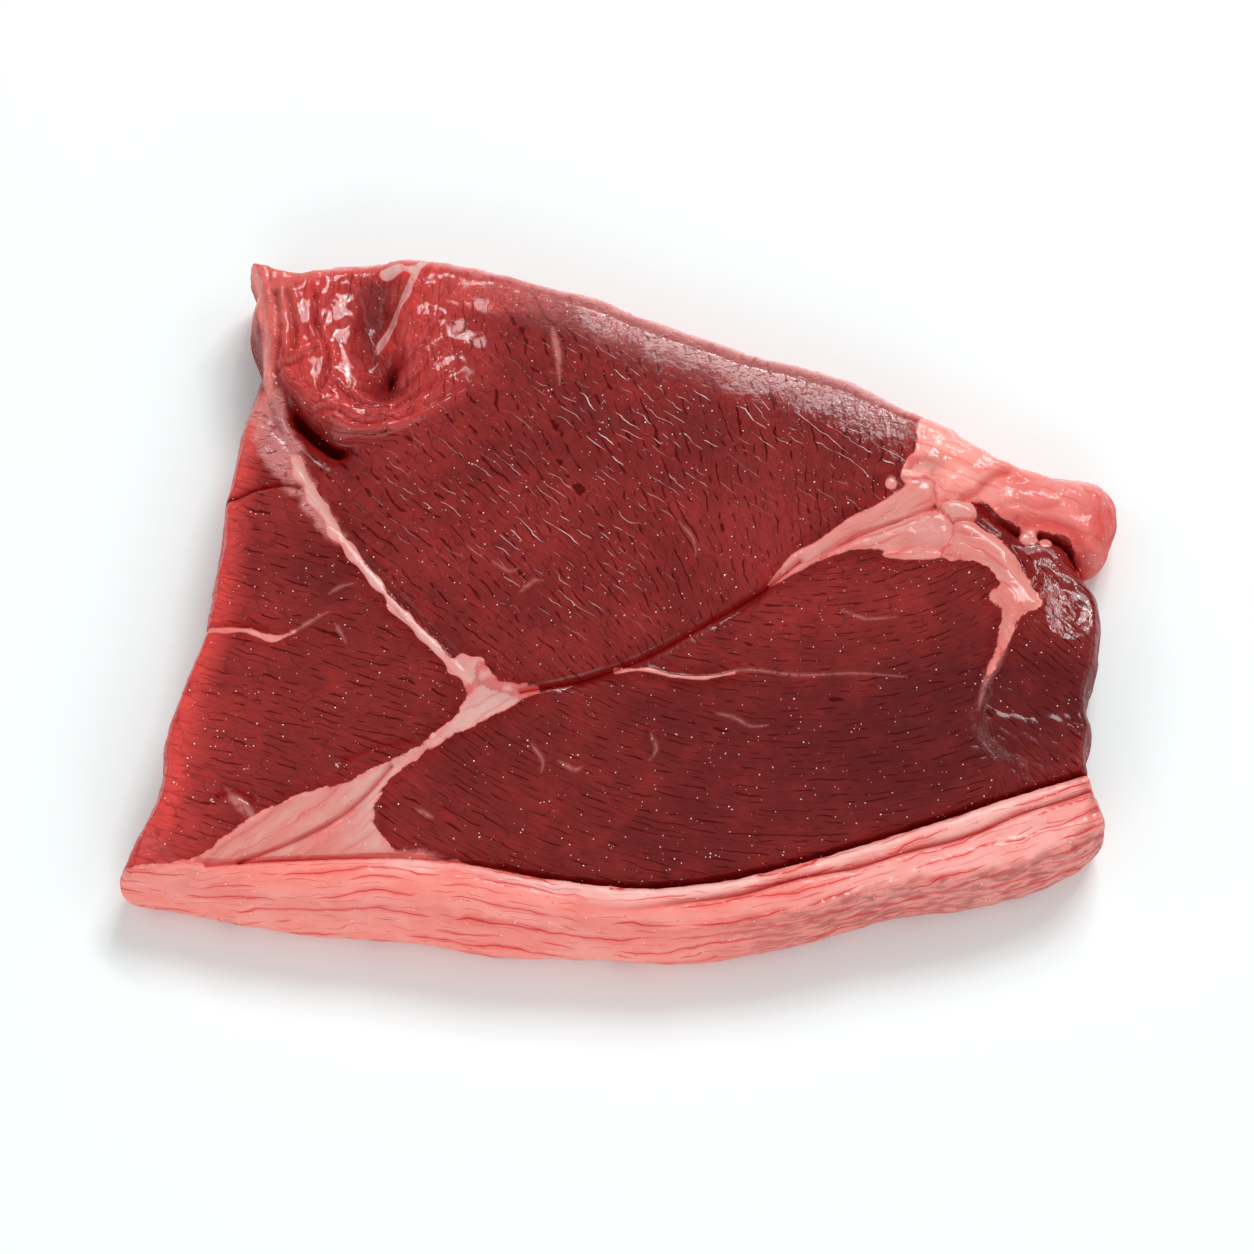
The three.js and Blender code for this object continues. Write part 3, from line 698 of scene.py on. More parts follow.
def lean_shares(places, depth, facts, fat):
    """How far each place of the lean is bright, dark, filmed over and painted with sheen, painted with shade
    in its creases, wet and so on.
    """
    x, y = places.T
    left_part = smooth(-1, 3, facts["left"])
    flap_part = smooth(0, 3, facts["flap"]) * flap_window(places)
    at_back = smooth(20, 45, y) * smooth(-100, -60, x)
    # the back rim tilts toward the main light behind: its brighter colour, pink rim, film and glints are
    # partly painted light
    back_rim = smooth(6.5, 1.5, depth) * at_back * smooth(80, 60, x)
    # painted shade: bright, rim and film are cut back on the walls, where the main light strikes hard
    off_wall = 0.45 + 0.55 * smooth(0.0, 0.9, depth)
    bright = left_part * (smooth(9.5, 1.5, depth) + hills(places, BRIGHT_CORNER)) + 0.7 * flap_part
    bright = np.clip(bright + (0.8 + 0.5 * smooth(16, 6, depth)) * back_rim, 0, 1)
    bright = np.maximum(bright, 0.7 * smooth(7, 3, np.abs(y - 71)) * bump_at(places, -35, 72, 18)) * off_wall

    ridge, _ = beside(places, LEFT_RIDGE)
    notch = smooth(-0.2, -1.0, ridge) * smooth(46, 49, y) * smooth(66, 62, y) * smooth(-78, -80, x)
    # pink rim along the flap's ridge and the back edge: the ridge's own pale pink, brightened as painted
    # light where it tilts away from the light, and painted light along the back edge
    rim = np.maximum(bell(ridge, 1.2), 0.5 * bump_at(places, -80, 66, 4, 2.0, 1.57)) * smooth(42, 47, y)
    rim = np.maximum(rim, 0.75 * smooth(5.5, 2.0, depth) * at_back * smooth(84, 66, x)) * off_wall
    membrane = within(places, MEMBRANE) + 1.2 * ripples(places, 4, 31)
    film = smooth(-0.8, 1.2, membrane) * smooth(1, -0.5, facts["flap"]) * smooth(50, 44, y)
    sheen = smooth(17, 6, depth) * smooth(30, 44, y) * smooth(-50, -10, x) * smooth(74, 58, x)
    # over the back rim and the sheen band the film's pale colour is a painted reflection of the main light
    film = np.max([film, 0.75 * back_rim, 0.6 * sheen], axis=0) * (1 - notch) * off_wall

    # the flap's hollow and the notch under its ridge (above) are painted dark purple-brown: partly their own
    # colour, partly painted shade in the recesses
    hollow, hollow_at = hollow_run(places)
    over_edge = beside(places, MEMBRANE_EDGE)[0] * (y > 57)
    cavity = 0.9 * bell(hollow + 1.0, 5.0) * smooth(2, 7, hollow_at) * smooth(0.5, -0.5, over_edge - 0.2)
    plump = (0.02 + 0.10 * smooth(0, 3, facts["right"])) * (1 - flap_part) + 0.30 * flap_part
    plump = plump * (1 - 0.8 * facts["wet"] * (x < 0)) * smooth(0.8, -0.4, fat) * smooth(0.5, 3, depth + 2.0)
    fleck = []
    for row in FLECKS:
        share, half_width, off = strip(places, *row)
        fleck.append(half_width * np.sqrt(np.sin(np.pi * np.clip(share, 0.02, 0.98))) - off)
    return dict(
        bright=bright,
        dark=hills(places, DARK_PARTS) * (1 - 0.8 * bright),
        rim=rim,
        film=film,
        cavity=np.maximum(cavity, notch),
        crease=np.maximum(facts["crease"], 0.5 * notch),
        glints=hills(places, GLINT_PARTS) + 0.15 * flap_part + 0.5 * back_rim,
        gloss=facts["wet"] + 0.6 * bump_at(places, 40, 44, 12, 2.2, -0.45),
        wrinkled=facts["wet"] * np.where(x < 0, 0.25, 1) + 0.5 * bump_at(places, 56, 44, 14, 1.6, -0.5),
        plump=plump,
        fleck=smooth(-0.4, 0.6, np.max(fleck, axis=0)),
    )


def fat_shares(places, depth, facts, fat, border):
    """How far each place of the fat is pale, veined, painted dark red and painted with shade, and so on."""
    x, y = places.T
    cap, tail = facts["cap"], facts["tail"]
    on_cap, on_seams = on_form(facts, "cap"), on_form(facts, *SEAMS)
    pallor = (
        0.9 * on_seams * smooth(-70, -45, x + 0.4 * y + 20),
        bell(cap - 2.2, 1.8) * smooth(-45, -10, x),
        0.25 * on_form(facts, *LOBES),
        0.6 * on_cap * smooth(20, 60, x),
    )
    # the tail's lower edge: dark red, partly lean showing, partly painted shade
    underside_red_and_shade = smooth(5, 0.5, tail) * smooth(-1, 0.5, tail) * smooth(78, 90, x) * smooth(26, 16, y)
    veined = on_cap + 0.35 * on_form(facts, "tail") + 0.35 * on_seams
    near_wall = smooth(5.6, 3.0, depth + 0.8 * ripples(places, 9, 61))
    lumps = 0.22 + 0.5 * smooth(0, 4, tail) + 0.12 * smooth(0, 4, cap)
    return dict(
        pallor=np.max(pallor, axis=0),
        # painted shade: the level lobes and seams of fat are darkened by a quarter, as they catch more light
        # than the tilted cap
        toned=on_form(facts, *LOBES, *SEAMS, "arched_lobe", "petal") * (1 - on_cap),
        veined=veined + 0.6 * on_form(facts, *LOBES, "arched_lobe"),
        blush=hills(places, REDDENED_AND_SHADED_PARTS) + 0.9 * underside_red_and_shade,
        # painted shade on the right part of the cap's side wall
        bruise=near_wall * smooth(5, 45, x) * smooth(-40, -46, y),
        ragged=np.where(facts["thin"] == fat, 0.18, 1 - 0.7 * smooth(-2, 0, deepest(facts, *LOBES))),
        lumps=smooth(-0.2, 1.5, fat) * lumps * (1 - border),
        border=border,
    )


def surface_facts(places, depth):
    """Height of the cut face and all that the finish and the fine relief read, for each place."""
    facts = carve_creases(places, shape_forms(places))
    wide_fat = np.array([facts[name] for name in ("cap", "tail", "nodules", *FAT_FORMS)])
    wide_fat = np.log(np.exp(np.clip(wide_fat, -20, 20) / FAT_BLEND).sum(0)) * FAT_BLEND
    fat = np.maximum(wide_fat, facts["thin"])
    flow, border = fat_layout(places, facts)
    matte = (smooth(0.05, 0.5, facts["crease"]), 0.78 * smooth(2.4, 0.6, depth), 0.6 * bell(fat + 1.1, 1.2))
    shares = {
        **lean_shares(places, depth, facts, fat),
        **fat_shares(places, depth, facts, fat, border),
        "matte": np.max(matte, axis=0),
    }
    facts["numbers"] = {name: np.clip(share, 0, 1) for name, share in shares.items()}
    facts["numbers"]["fat"] = fat
    facts["layouts"] = {"grain": bundle_layout(places, facts), "flow": flow}
    return facts


# --------------------------------------------------------------------------------------------------
# The mesh: a cut face and an underside, each triangulated on its own grid and sewn together at the outline
FINE_LINES = [  # the mesh is finer along these
    CAP_INNER,
    WEDGE_GAP,
    LOBE_GAP,
    FORK_SEAM,
    LOWER_CAP_GAP,
    FORK_TAIL_GAP,
    LIP,
    MEMBRANE_EDGE,
    UPPER_SEAM,
    PALE_LINE,
    *(row[0] for row in FLECKS),
]
FINE_STEP = 0.55  # between vertices along them
WALL_TURN = 84  # degrees round the wall at which its rings give way to the grid


def grid_of(step):
    """Staggered rows of places over the whole outline, each shifted a little at random."""
    rows = np.arange(-90, 92, step * math.sqrt(0.75))
    columns = np.arange(-120, 120, step)
    x, y = np.meshgrid(columns, rows)
    x = x + (np.arange(len(rows)) % 2)[:, None] * step / 2
    rng = np.random.default_rng(RANDOM_SEED)
    return np.stack([x.ravel(), y.ravel()], axis=1) + rng.uniform(-0.08, 0.08, (x.size, 2)) * step


def rings_inside(loop, width, turns):
    """Rows of places inside the outline, nearer together towards it, where its wall is steep."""
    ahead = np.roll(loop, -2, axis=0) - np.roll(loop, 2, axis=0)
    inward = np.stack([-ahead[:, 1], ahead[:, 0]], axis=1) / np.linalg.norm(ahead, axis=1)[:, None]
    rings = []
    for turn in turns:
        inset = width * (1 - math.cos(turn))
        places = loop + inward * inset[:, None]
        kept = depth_inside(places, loop) > inset * 0.985 - 0.01
        rings.append(places[kept])
    return np.vstack(rings)


def thin_out(places, others, gap):
    """The places with none of the others within about a gap."""
    def cells(at):
        return np.floor((at + 130) / (gap * 0.6)).astype(int)

    taken = np.zeros((int(260 / (gap * 0.6)) + 3,) * 2, bool)
    i, j = cells(others).T
    for di in (-1, 0, 1):
        for dj in (-1, 0, 1):
            taken[i + di, j + dj] = True
    i, j = cells(places).T
    return places[~taken[i, j]]


def triangulate(loop, inner):
    """The places of the outline and inside it, and counterclockwise triangles between them."""
    places = np.vstack([loop, inner])
    result = delaunay_2d_cdt([Vector(p) for p in places], [], [list(range(len(loop)))], 1, 1e-7)
    origin = [sources[0] for sources in result[3]]
    faces = np.array([[origin[v] for v in face] for face in result[2]])
    a, b, c = places[faces[:, 0]], places[faces[:, 1]], places[faces[:, 2]]
    area = (b[:, 0] - a[:, 0]) * (c[:, 1] - a[:, 1]) - (b[:, 1] - a[:, 1]) * (c[:, 0] - a[:, 0])
    faces[area < 0] = faces[area < 0][:, ::-1]
    return places, faces


def cut_face_places(loop):
    """Places for the cut face and its walls: rings along the walls, rows along the fine lines, and a grid."""
    rings = rings_inside(loop, wall_width(loop), np.radians(np.linspace(9, WALL_TURN, 13)))
    lines = []
    for points in FINE_LINES:
        line = smooth_curve(points, step=FINE_STEP)
        ahead = np.gradient(line, axis=0)
        across = np.stack([-ahead[:, 1], ahead[:, 0]], axis=1) / np.linalg.norm(ahead, axis=1)[:, None]
        lines += [line + across * off for off in (-0.9, -0.4, 0, 0.4, 0.9)]
        if points is CAP_INNER:
            groove = groove_depth(np.arange(len(line)) * FINE_STEP)
            lines += [line - across * (groove + off)[:, None] for off in (-0.7, -0.3, 0.1, 0.5)]
    lines = np.vstack(lines)
    lines = lines[depth_inside(lines, loop) > 1.5]
    rings = thin_out(rings, lines, FINE_STEP)
    grid = grid_of(MESH_STEP)
    wall = wall_width(grid) * (1 - math.cos(math.radians(WALL_TURN)))
    grid = grid[depth_inside(grid, loop) > wall + 0.3]
    grid = thin_out(grid, np.vstack([lines, rings]), MESH_STEP * 0.6)
    return np.vstack([rings, lines, grid])


def underside_places(loop):
    rings = rings_inside(loop, np.full(len(loop), FOOT), np.radians([20, 38, 56, 74, 90]))
    grid = grid_of(UNDER_STEP)
    grid = grid[depth_inside(grid, loop) > FOOT + 0.8]
    return np.vstack([rings, grid])


def steak_points():
    """Vertices in millimetres, faces, and the numbers and layouts that belong to each vertex."""
    loop = even_loop(OUTLINE[::-1], EDGE_STEP)
    above, top_faces = triangulate(loop, cut_face_places(loop))
    below, under_faces = triangulate(loop, underside_places(loop))
    places = np.vstack([above, below[len(loop) :]])
    depth = np.maximum(depth_inside(places, loop), 0)
    depth[: len(loop)] = 0
    facts = surface_facts(places, depth)
    top = GIRTH + (facts["height"] - GIRTH) * quarter_round(depth, wall_width(places))
    under = GIRTH * (1 - quarter_round(depth, FOOT))
    is_top = np.arange(len(places)) < len(above)
    height = np.where(is_top, top, under)[:, None]
    points = np.hstack([places, height])
    overhang = LIP_REACH * facts["lip"] * smooth(12, 22, height[:, 0]) * is_top
    points[:, :2] -= overhang[:, None] * LIP_WAY
    own = np.arange(len(below))
    renumber = np.where(own < len(loop), own, own - len(loop) + len(above))
    faces = np.vstack([top_faces, renumber[under_faces][:, ::-1]])
    numbers = {**facts["numbers"], "free": np.where(is_top, 1.0, smooth(0.3, 4, under)), "top_side": is_top}
    grain, flow = facts["layouts"]["grain"], facts["layouts"]["flow"]
    layouts = {"grain": np.hstack([grain, height / BUNDLE_HEIGHT]), "flow": np.hstack([flow, height])}
    return points, faces, numbers, layouts


# --------------------------------------------------------------------------------------------------
# Node trees
def arithmetic(operation, swapped=False):
    """A way to combine a Number with another, or with a plain number, by adding a Math node."""
    def combine(number, other):
        terms = (other, number) if swapped else (number, other)
        return number.tree.math(operation, *terms)

    return combine


class Number:
    """A socket that carries numbers: arithmetic on it adds Math nodes to its tree."""

    def __init__(self, tree, socket):
        self.tree = tree
        self.socket = socket

    __add__ = __radd__ = arithmetic("ADD")
    __sub__ = arithmetic("SUBTRACT")
    __rsub__ = arithmetic("SUBTRACT", swapped=True)
    __mul__ = __rmul__ = arithmetic("MULTIPLY")
    __truediv__ = arithmetic("DIVIDE")
    __rtruediv__ = arithmetic("DIVIDE", swapped=True)
    __pow__ = arithmetic("POWER")
    most = arithmetic("MAXIMUM")

    def between(self, low, high):
        """0 at low and 1 at high, with a smooth step between, whichever of them is the higher."""
        sockets = {"Value": self, "From Min": low, "From Max": high}
        made = self.tree.node("ShaderNodeMapRange", sockets, interpolation_type="SMOOTHSTEP")
        return Number(self.tree, made.outputs["Result"])


class Tree:
    """Adds nodes to a material's or a modifier's tree."""

    def __init__(self, nodes):
        self.nodes = nodes
        self.carves = nodes.bl_idname == "GeometryNodeTree"

    def node(self, kind, sockets=None, **settings):
        """Adds a node: its settings first, then the values or links of its sockets, by name or number."""
        made = self.nodes.nodes.new(kind)
        for name, value in settings.items():
            setattr(made, name, value)
        for name, value in (sockets or {}).items():
            socket = made.inputs[name]
            if isinstance(value, Number):
                value = value.socket
            if isinstance(value, bpy.types.NodeSocket):
                self.nodes.links.new(value, socket)
            else:
                socket.default_value = value
        return made

    def math(self, operation, a, b):
        return Number(self, self.node("ShaderNodeMath", {0: a, 1: b}, operation=operation).outputs[0])

    def vector(self, operation, a, b):
        return self.node("ShaderNodeVectorMath", {0: a, 1: b}, operation=operation).outputs[0]

    def stretched(self, a, factors):
        return self.vector("MULTIPLY", a, factors)

    def tint(self, share, a, b):
        """Colour a turned to colour b by a share."""
        sockets = {0: share, 6: a, 7: b}
        return self.node("ShaderNodeMix", sockets, data_type="RGBA", clamp_factor=True).outputs[2]

    def over(self, below, share, *shade):
        """A colour with a share of it painted over with another."""
        return self.tint(share, below, paint(*shade))

    def shaded(self, colour, by):
        """A colour made lighter or darker by a number round 1."""
        grey = self.node("ShaderNodeCombineXYZ", {0: by, 1: by, 2: by}).outputs[0]
        return self.vector("MULTIPLY", colour, grey)

    def noise(self, at, scale, detail, rough):
        sockets = {"Vector": at, "Scale": scale, "Detail": detail, "Roughness": rough}
        return self.node("ShaderNodeTexNoise", sockets, noise_dimensions="3D")

    def clouds(self, at, scale, detail=2.0, rough=0.5):
        """Soft random numbers round 0.5."""
        return Number(self, self.noise(at, scale, detail, rough).outputs[0])

    def long_clouds(self, at, factors, detail=2.0, rough=0.5):
        """Soft random numbers, drawn out along the axes with small factors."""
        return self.clouds(self.stretched(at, factors), 1.0, detail, rough)

    def cells(self, at, feature, scale, random):
        sockets = {"Vector": at, "Scale": scale, "Randomness": random}
        return self.node("ShaderNodeTexVoronoi", sockets, feature=feature, voronoi_dimensions="3D")

    def attribute(self, name, vector=False):
        if self.carves:
            kind = "FLOAT_VECTOR" if vector else "FLOAT"
            made = self.node("GeometryNodeInputNamedAttribute", {"Name": name}, data_type=kind)
            socket = next(s for s in made.outputs if s.name == "Attribute" and s.enabled)
        else:
            made = self.node("ShaderNodeAttribute", attribute_name=name)
            socket = made.outputs["Vector" if vector else "Fac"]
        return socket if vector else Number(self, socket)

    def place(self):
        """Where a point is on the piece, in millimetres."""
        if self.carves:
            metres = self.node("GeometryNodeInputPosition").outputs[0]
        else:
            metres = self.node("ShaderNodeTexCoord").outputs["Object"]
        return self.stretched(metres, (1 / MM,) * 3)


def paint(red, green, blue):
    """A colour given as it shows on a screen, each part from 0 to 255."""
    def linear(part):
        part = part / 255
        return part / 12.92 if part <= 0.04045 else ((part + 0.055) / 1.055) ** 2.4

    return (linear(red), linear(green), linear(blue), 1.0)


def wandering(tree, at, place, size, reach):
    """A layout whose lines wander by up to about reach, over the given size in millimetres."""
    drift = tree.noise(place, 1 / size, 2.0, 0.55).outputs["Color"]
    drift = tree.vector("SUBTRACT", drift, (0.5,) * 3)
    return tree.vector("ADD", at, tree.stretched(drift, (2 * reach,) * 3))


def bundle_edges(tree, grain, place):
    """Distance from a bundle's edge, in bundles, on the wandering layout that carving and finish share."""
    layout = wandering(tree, wandering(tree, grain, place, 6.0, 0.42), place, 1.6, 0.07)
    return layout, Number(tree, tree.cells(layout, "DISTANCE_TO_EDGE", 1.0, 0.9).outputs["Distance"])


# --------------------------------------------------------------------------------------------------
# Carving: the relief of the bundles and the lumps of the fat, as geometry
def new_group(name, inputs):
    """The tree of a modifier that is given a geometry, a finish and further inputs, and what it is given."""
    group = bpy.data.node_groups.new(name, "GeometryNodeTree")
    for label, kind in {"Geometry": "Geometry", **inputs, "Finish": "Material"}.items():
        group.interface.new_socket(label, in_out="INPUT", socket_type="NodeSocket" + kind)
    group.interface.new_socket("Geometry", in_out="OUTPUT", socket_type="NodeSocketGeometry")
    tree = Tree(group)
    return tree, tree.node("NodeGroupInput").outputs


def end_group(tree, given, geometry):
    """Makes a geometry real, gives it the finish and hands it out of the tree."""
    real = tree.node("GeometryNodeRealizeInstances", {"Geometry": geometry})
    finish = tree.node("GeometryNodeSetMaterial", {"Geometry": real.outputs[0], "Material": given["Finish"]})
    tree.node("NodeGroupOutput", {"Geometry": finish.outputs[0]})
    return tree.nodes


def carving_tree():
    inputs = {"Bundle rise": "Float", "Fat lump size": "Float", "Unevenness": "Float"}
    tree, given = new_group("meat_relief", inputs)
    rise, lump_size, unevenness = (Number(tree, given[name]) for name in inputs)
    place = tree.place()
    _, edge = bundle_edges(tree, tree.attribute("grain", True), place)
    bundles = (edge.between(-0.02, 0.34) - 0.6) * tree.attribute("plump") * rise
    flow = wandering(tree, tree.attribute("flow", True), place, 9.0, 2.0)
    lumps = tree.clouds(tree.stretched(flow, (0.55, 1.0, 1.0)), 1 / lump_size, 1.5) - 0.5
    lumps = lumps * tree.attribute("lumps") * 3.0
    normal = tree.node("GeometryNodeInputNormal").outputs[0]
    upright = Number(tree, tree.node("ShaderNodeSeparateXYZ", {0: normal}).outputs[2])
    steep = (upright * upright).between(0.8, 0.2)
    uneven = (tree.clouds(place, 1 / 11) - 0.5) * unevenness * (1 + steep)
    folds = (tree.clouds(tree.stretched(place, (1, 1, 0.3)), 1 / 4.5) - 0.5) * steep * 0.9
    height = (bundles + lumps + uneven + folds) * tree.attribute("free") * MM
    offset = tree.node("ShaderNodeVectorMath", {0: normal, "Scale": height}, operation="SCALE").outputs[0]
    moved = tree.node("GeometryNodeSetPosition", {"Geometry": given["Geometry"], "Offset": offset})
    return end_group(tree, given, moved.outputs[0])


def beads_tree():
    """Small beads of juice, scattered over a surface and sunk a little into it."""
    inputs = {"Beads per square metre": "Float", "Radius": "Float", "Seed": "Int"}
    tree, given = new_group("juice_beads", inputs)
    shown = tree.attribute("top_side").between(0.4, 0.6)
    density = Number(tree, given["Beads per square metre"]) * shown
    sockets = {"Mesh": given["Geometry"], "Density": density, "Seed": given["Seed"]}
    spread = tree.node("GeometryNodeDistributePointsOnFaces", sockets, distribute_method="RANDOM")
    drop = tree.node("GeometryNodeMeshUVSphere", {"Segments": 7, "Rings": 4, "Radius": given["Radius"]})
    flat = tree.node("GeometryNodeTransform", {"Geometry": drop.outputs[0], "Scale": (1.0, 1.0, 0.55)})
    sockets = {"Min": 0.0, "Max": 1.0, "Seed": given["Seed"]}
    size = tree.node("FunctionNodeRandomValue", sockets, data_type="FLOAT")
    share = Number(tree, next(s for s in size.outputs if s.enabled)) ** 2.2
    sockets = {
        "Points": spread.outputs["Points"],
        "Instance": flat.outputs[0],
        "Rotation": spread.outputs["Rotation"],
        "Scale": 0.45 + share * 0.9,
    }
    return end_group(tree, given, tree.node("GeometryNodeInstanceOnPoints", sockets).outputs[0])


def placed(name, data):
    """A new object in the scene."""
    made = bpy.data.objects.new(name, data)
    bpy.context.scene.collection.objects.link(made)
    return made


def grown(source, name, group, inputs):
    """A plain mesh object from a source object passed through a node tree."""
    modifier = source.modifiers.new("grow", "NODES")
    modifier.node_group = group
    for item in group.interface.items_tree:
        if item.in_out == "INPUT" and item.name in inputs:
            modifier[item.identifier] = inputs[item.name]
    bpy.context.view_layer.update()
    depsgraph = bpy.context.evaluated_depsgraph_get()
    mesh = bpy.data.meshes.new_from_object(
        source.evaluated_get(depsgraph), preserve_all_data_layers=True, depsgraph=depsgraph
    )
    mesh.name = name
    source.modifiers.remove(modifier)
    return placed(name, mesh)


# --------------------------------------------------------------------------------------------------
# Finishes
def new_finish(name):
    material = bpy.data.materials.new(name)
    material.use_nodes = True
    material.node_tree.nodes.clear()
    return material, Tree(material.node_tree)


def swelling(off, swell, width, least):
    """Lines where off is 0 that swell to a width and fade again, so that they read as strokes."""
    swell = swell.between(least, least + 0.2)
    return (off / (swell * width + 0.001)).between(1.0, 0.3) * swell.between(0.0, 0.3)


def threads(tree, at, pieces, width, least):
    """Strokes along the x axis of a layout: lines a unit apart that bend, swell and break off one by one."""
    bend = tree.long_clouds(at, (0.35, 0.42, 0.5), 1.0) - 0.5
    parts = tree.node("ShaderNodeSeparateXYZ", {0: at}).outputs
    across = Number(tree, parts[1]) + Number(tree, parts[2]) * 0.6 + bend * 1.9
    line = tree.math("ROUND", across, 0)
    along = Number(tree, parts[0]) * pieces
    swell = tree.clouds(tree.node("ShaderNodeCombineXYZ", {0: along, 1: line * 3.7}).outputs[0], 1.0, 0.0)
    return swelling(tree.math("PINGPONG", across, 0.5), swell, width, least)


def lean_finish(tree, place):
    """Colour, relief and creases of the lean: bundles, lines along them, painted glints with painted shade
    beside them, painted shade in the creases and painted sheen on the film.
    """
    names = ("bright", "dark", "film", "rim", "crease", "cavity", "fleck", "glints", "wrinkled", "plump")
    shares = (tree.attribute(name) for name in names)
    bright, dark, film, rim, crease, cavity, fleck, glints, wrinkled, plump = shares
    grain = tree.attribute("grain", True)
    layout, edge = bundle_edges(tree, grain, place)
    tone = tree.node("ShaderNodeSeparateColor", {0: tree.cells(layout, "F1", 1.0, 0.9).outputs["Color"]})
    tone = Number(tree, tone.outputs[0])
    elsewhere = tree.vector("ADD", place, (40, 0, 0))
    flowing = wandering(tree, grain, place, 4.0, 0.24)
    line = threads(tree, tree.stretched(flowing, (1.0, 1.4, 1.2)), 1.7, 0.13, 0.43)
    finer = tree.vector("ADD", tree.stretched(flowing, (1.0, 2.4, 1.9)), (5, 3, 0))
    fine_line = threads(tree, finer, 2.6, 0.13, 0.44)
    bundle_line = swelling(edge, tree.clouds(elsewhere, 1 / 3.2, 1.0), 0.06, 0.46)

    # painted highlights: pale glint strokes slanting down to the right, each with a painted shade line on one
    # side
    sockets = {"Vector": place, "Angle": math.radians(38)}
    slanted = tree.node("ShaderNodeVectorRotate", sockets, rotation_type="Z_AXIS").outputs[0]
    slanted = wandering(tree, tree.stretched(slanted, (0.12, 0.42, 0.40)), place, 6.5, 0.60)
    glints = glints * tree.clouds(place, 1 / 8, 1.0).between(0.36, 0.56)
    glint_strokes = threads(tree, slanted, 2.1, 0.055, 0.44) * glints
    glint_shade_strokes = threads(tree, tree.vector("ADD", slanted, (0, 0.10, 0)), 2.1, 0.07, 0.44) * glints

    broad = tree.clouds(place, 1 / 24).between(0.3, 0.7)
    patches = tree.clouds(place, 1 / 7, 2.0, 0.6).between(0.45, 0.7)
    mottle = tree.clouds(place, 1 / 3.0, 3.0, 0.6)
    streaks = tree.long_clouds(flowing, (0.6, 2.6, 1.0))
    lean = tree.tint(broad, paint(148, 42, 39), paint(122, 29, 28))
    lean = tree.over(lean, dark, 94, 17, 18)
    lean = tree.over(lean, patches * 0.30 * (1 - dark * 0.5), 166, 44, 42)
    # bright red: the meat's own bloom at the edges and on the flap, and along the back rim partly painted
    # light
    lean = tree.over(lean, bright * 0.85, 222, 74, 70)
    lean = tree.shaded(lean, 0.66 + tone * 0.10 + mottle * 0.20 + streaks * 0.42)
    # the flap's hollow and the notch: dark purple-brown, partly their own colour and partly painted shade
    lean = tree.over(lean, cavity * 0.8, 92, 32, 36)
    lean = tree.over(lean, edge.between(0.12, 0.0) * 0.16, 84, 10, 12)
    lean = tree.over(lean, bundle_line * (0.34 - bright * 0.12), 84, 10, 12)
    lean = tree.over(lean, fine_line * 0.40 * (1 - bright * 0.7), 84, 10, 12)
    lean = tree.over(lean, line * 0.75 * (1 - bright * 0.7), 66, 5, 7)
    # painted shade: a dark line beside each painted glint
    lean = tree.over(lean, glint_shade_strokes * 0.5, 70, 8, 10)
    tissue = fleck * tree.clouds(place, 1 / 1.6, 2.0, 0.6).between(0.2, 0.55)
    lean = tree.over(lean, tissue * 0.55, 220, 140, 134)
    # painted highlight: pale glint strokes on the lean
    lean = tree.over(lean, glint_strokes * (1 - film) * (1 - crease) * 0.7, 246, 206, 204)
    wild = wandering(tree, place, place, 3.5, 2.4)
    crinkles = threads(tree, tree.stretched(wild, (0.3, 0.8, 0.5)), 1.3, 0.12, 0.42)
    wild = wandering(tree, place, place, 2.6, 1.6)
    folds = tree.vector("ADD", tree.stretched(wild, (0.4, 0.7, 0.5)), (3, 9, 0))
    folds = threads(tree, folds, 1.5, 0.16, 0.42)
    # pale film colour with pale crinkles and dark folds: the membrane's own look, and over the back rim and
    # the sheen band a painted reflection
    film_and_sheen_colour = tree.tint(crinkles * 0.6, paint(210, 134, 132), paint(248, 220, 216))
    film_and_sheen_colour = tree.over(film_and_sheen_colour, folds * 0.7, 148, 40, 42)
    lean = tree.tint(film * (0.45 + mottle * 0.6), lean, film_and_sheen_colour)
    # pink rim: the ridge's own pale pink, partly painted light
    lean = tree.over(lean, rim * (0.45 + mottle * 0.7), 255, 150, 140)
    # painted shade: creases, folds, the pocket and the slot darkened to deep red
    lean = tree.over(lean, crease * 0.9, 132, 8, 10)
    lean = tree.over(lean, crease.between(0.6, 1.0) * 0.75, 60, 3, 5)

    relief = edge.between(0.0, 0.10) * plump * 0.10 - line * 0.004
    relief = relief + glint_strokes * 0.03 + (crinkles * 0.12 - folds * 0.16) * film
    relief = relief + tree.clouds(place, 1 / 1.1) * 0.05 * (glints * 0.7 + film * 2 + 0.1)
    return lean, relief + tree.long_clouds(place, (0.8, 0.45, 0.5), 3.0) * wrinkled * 0.55, line


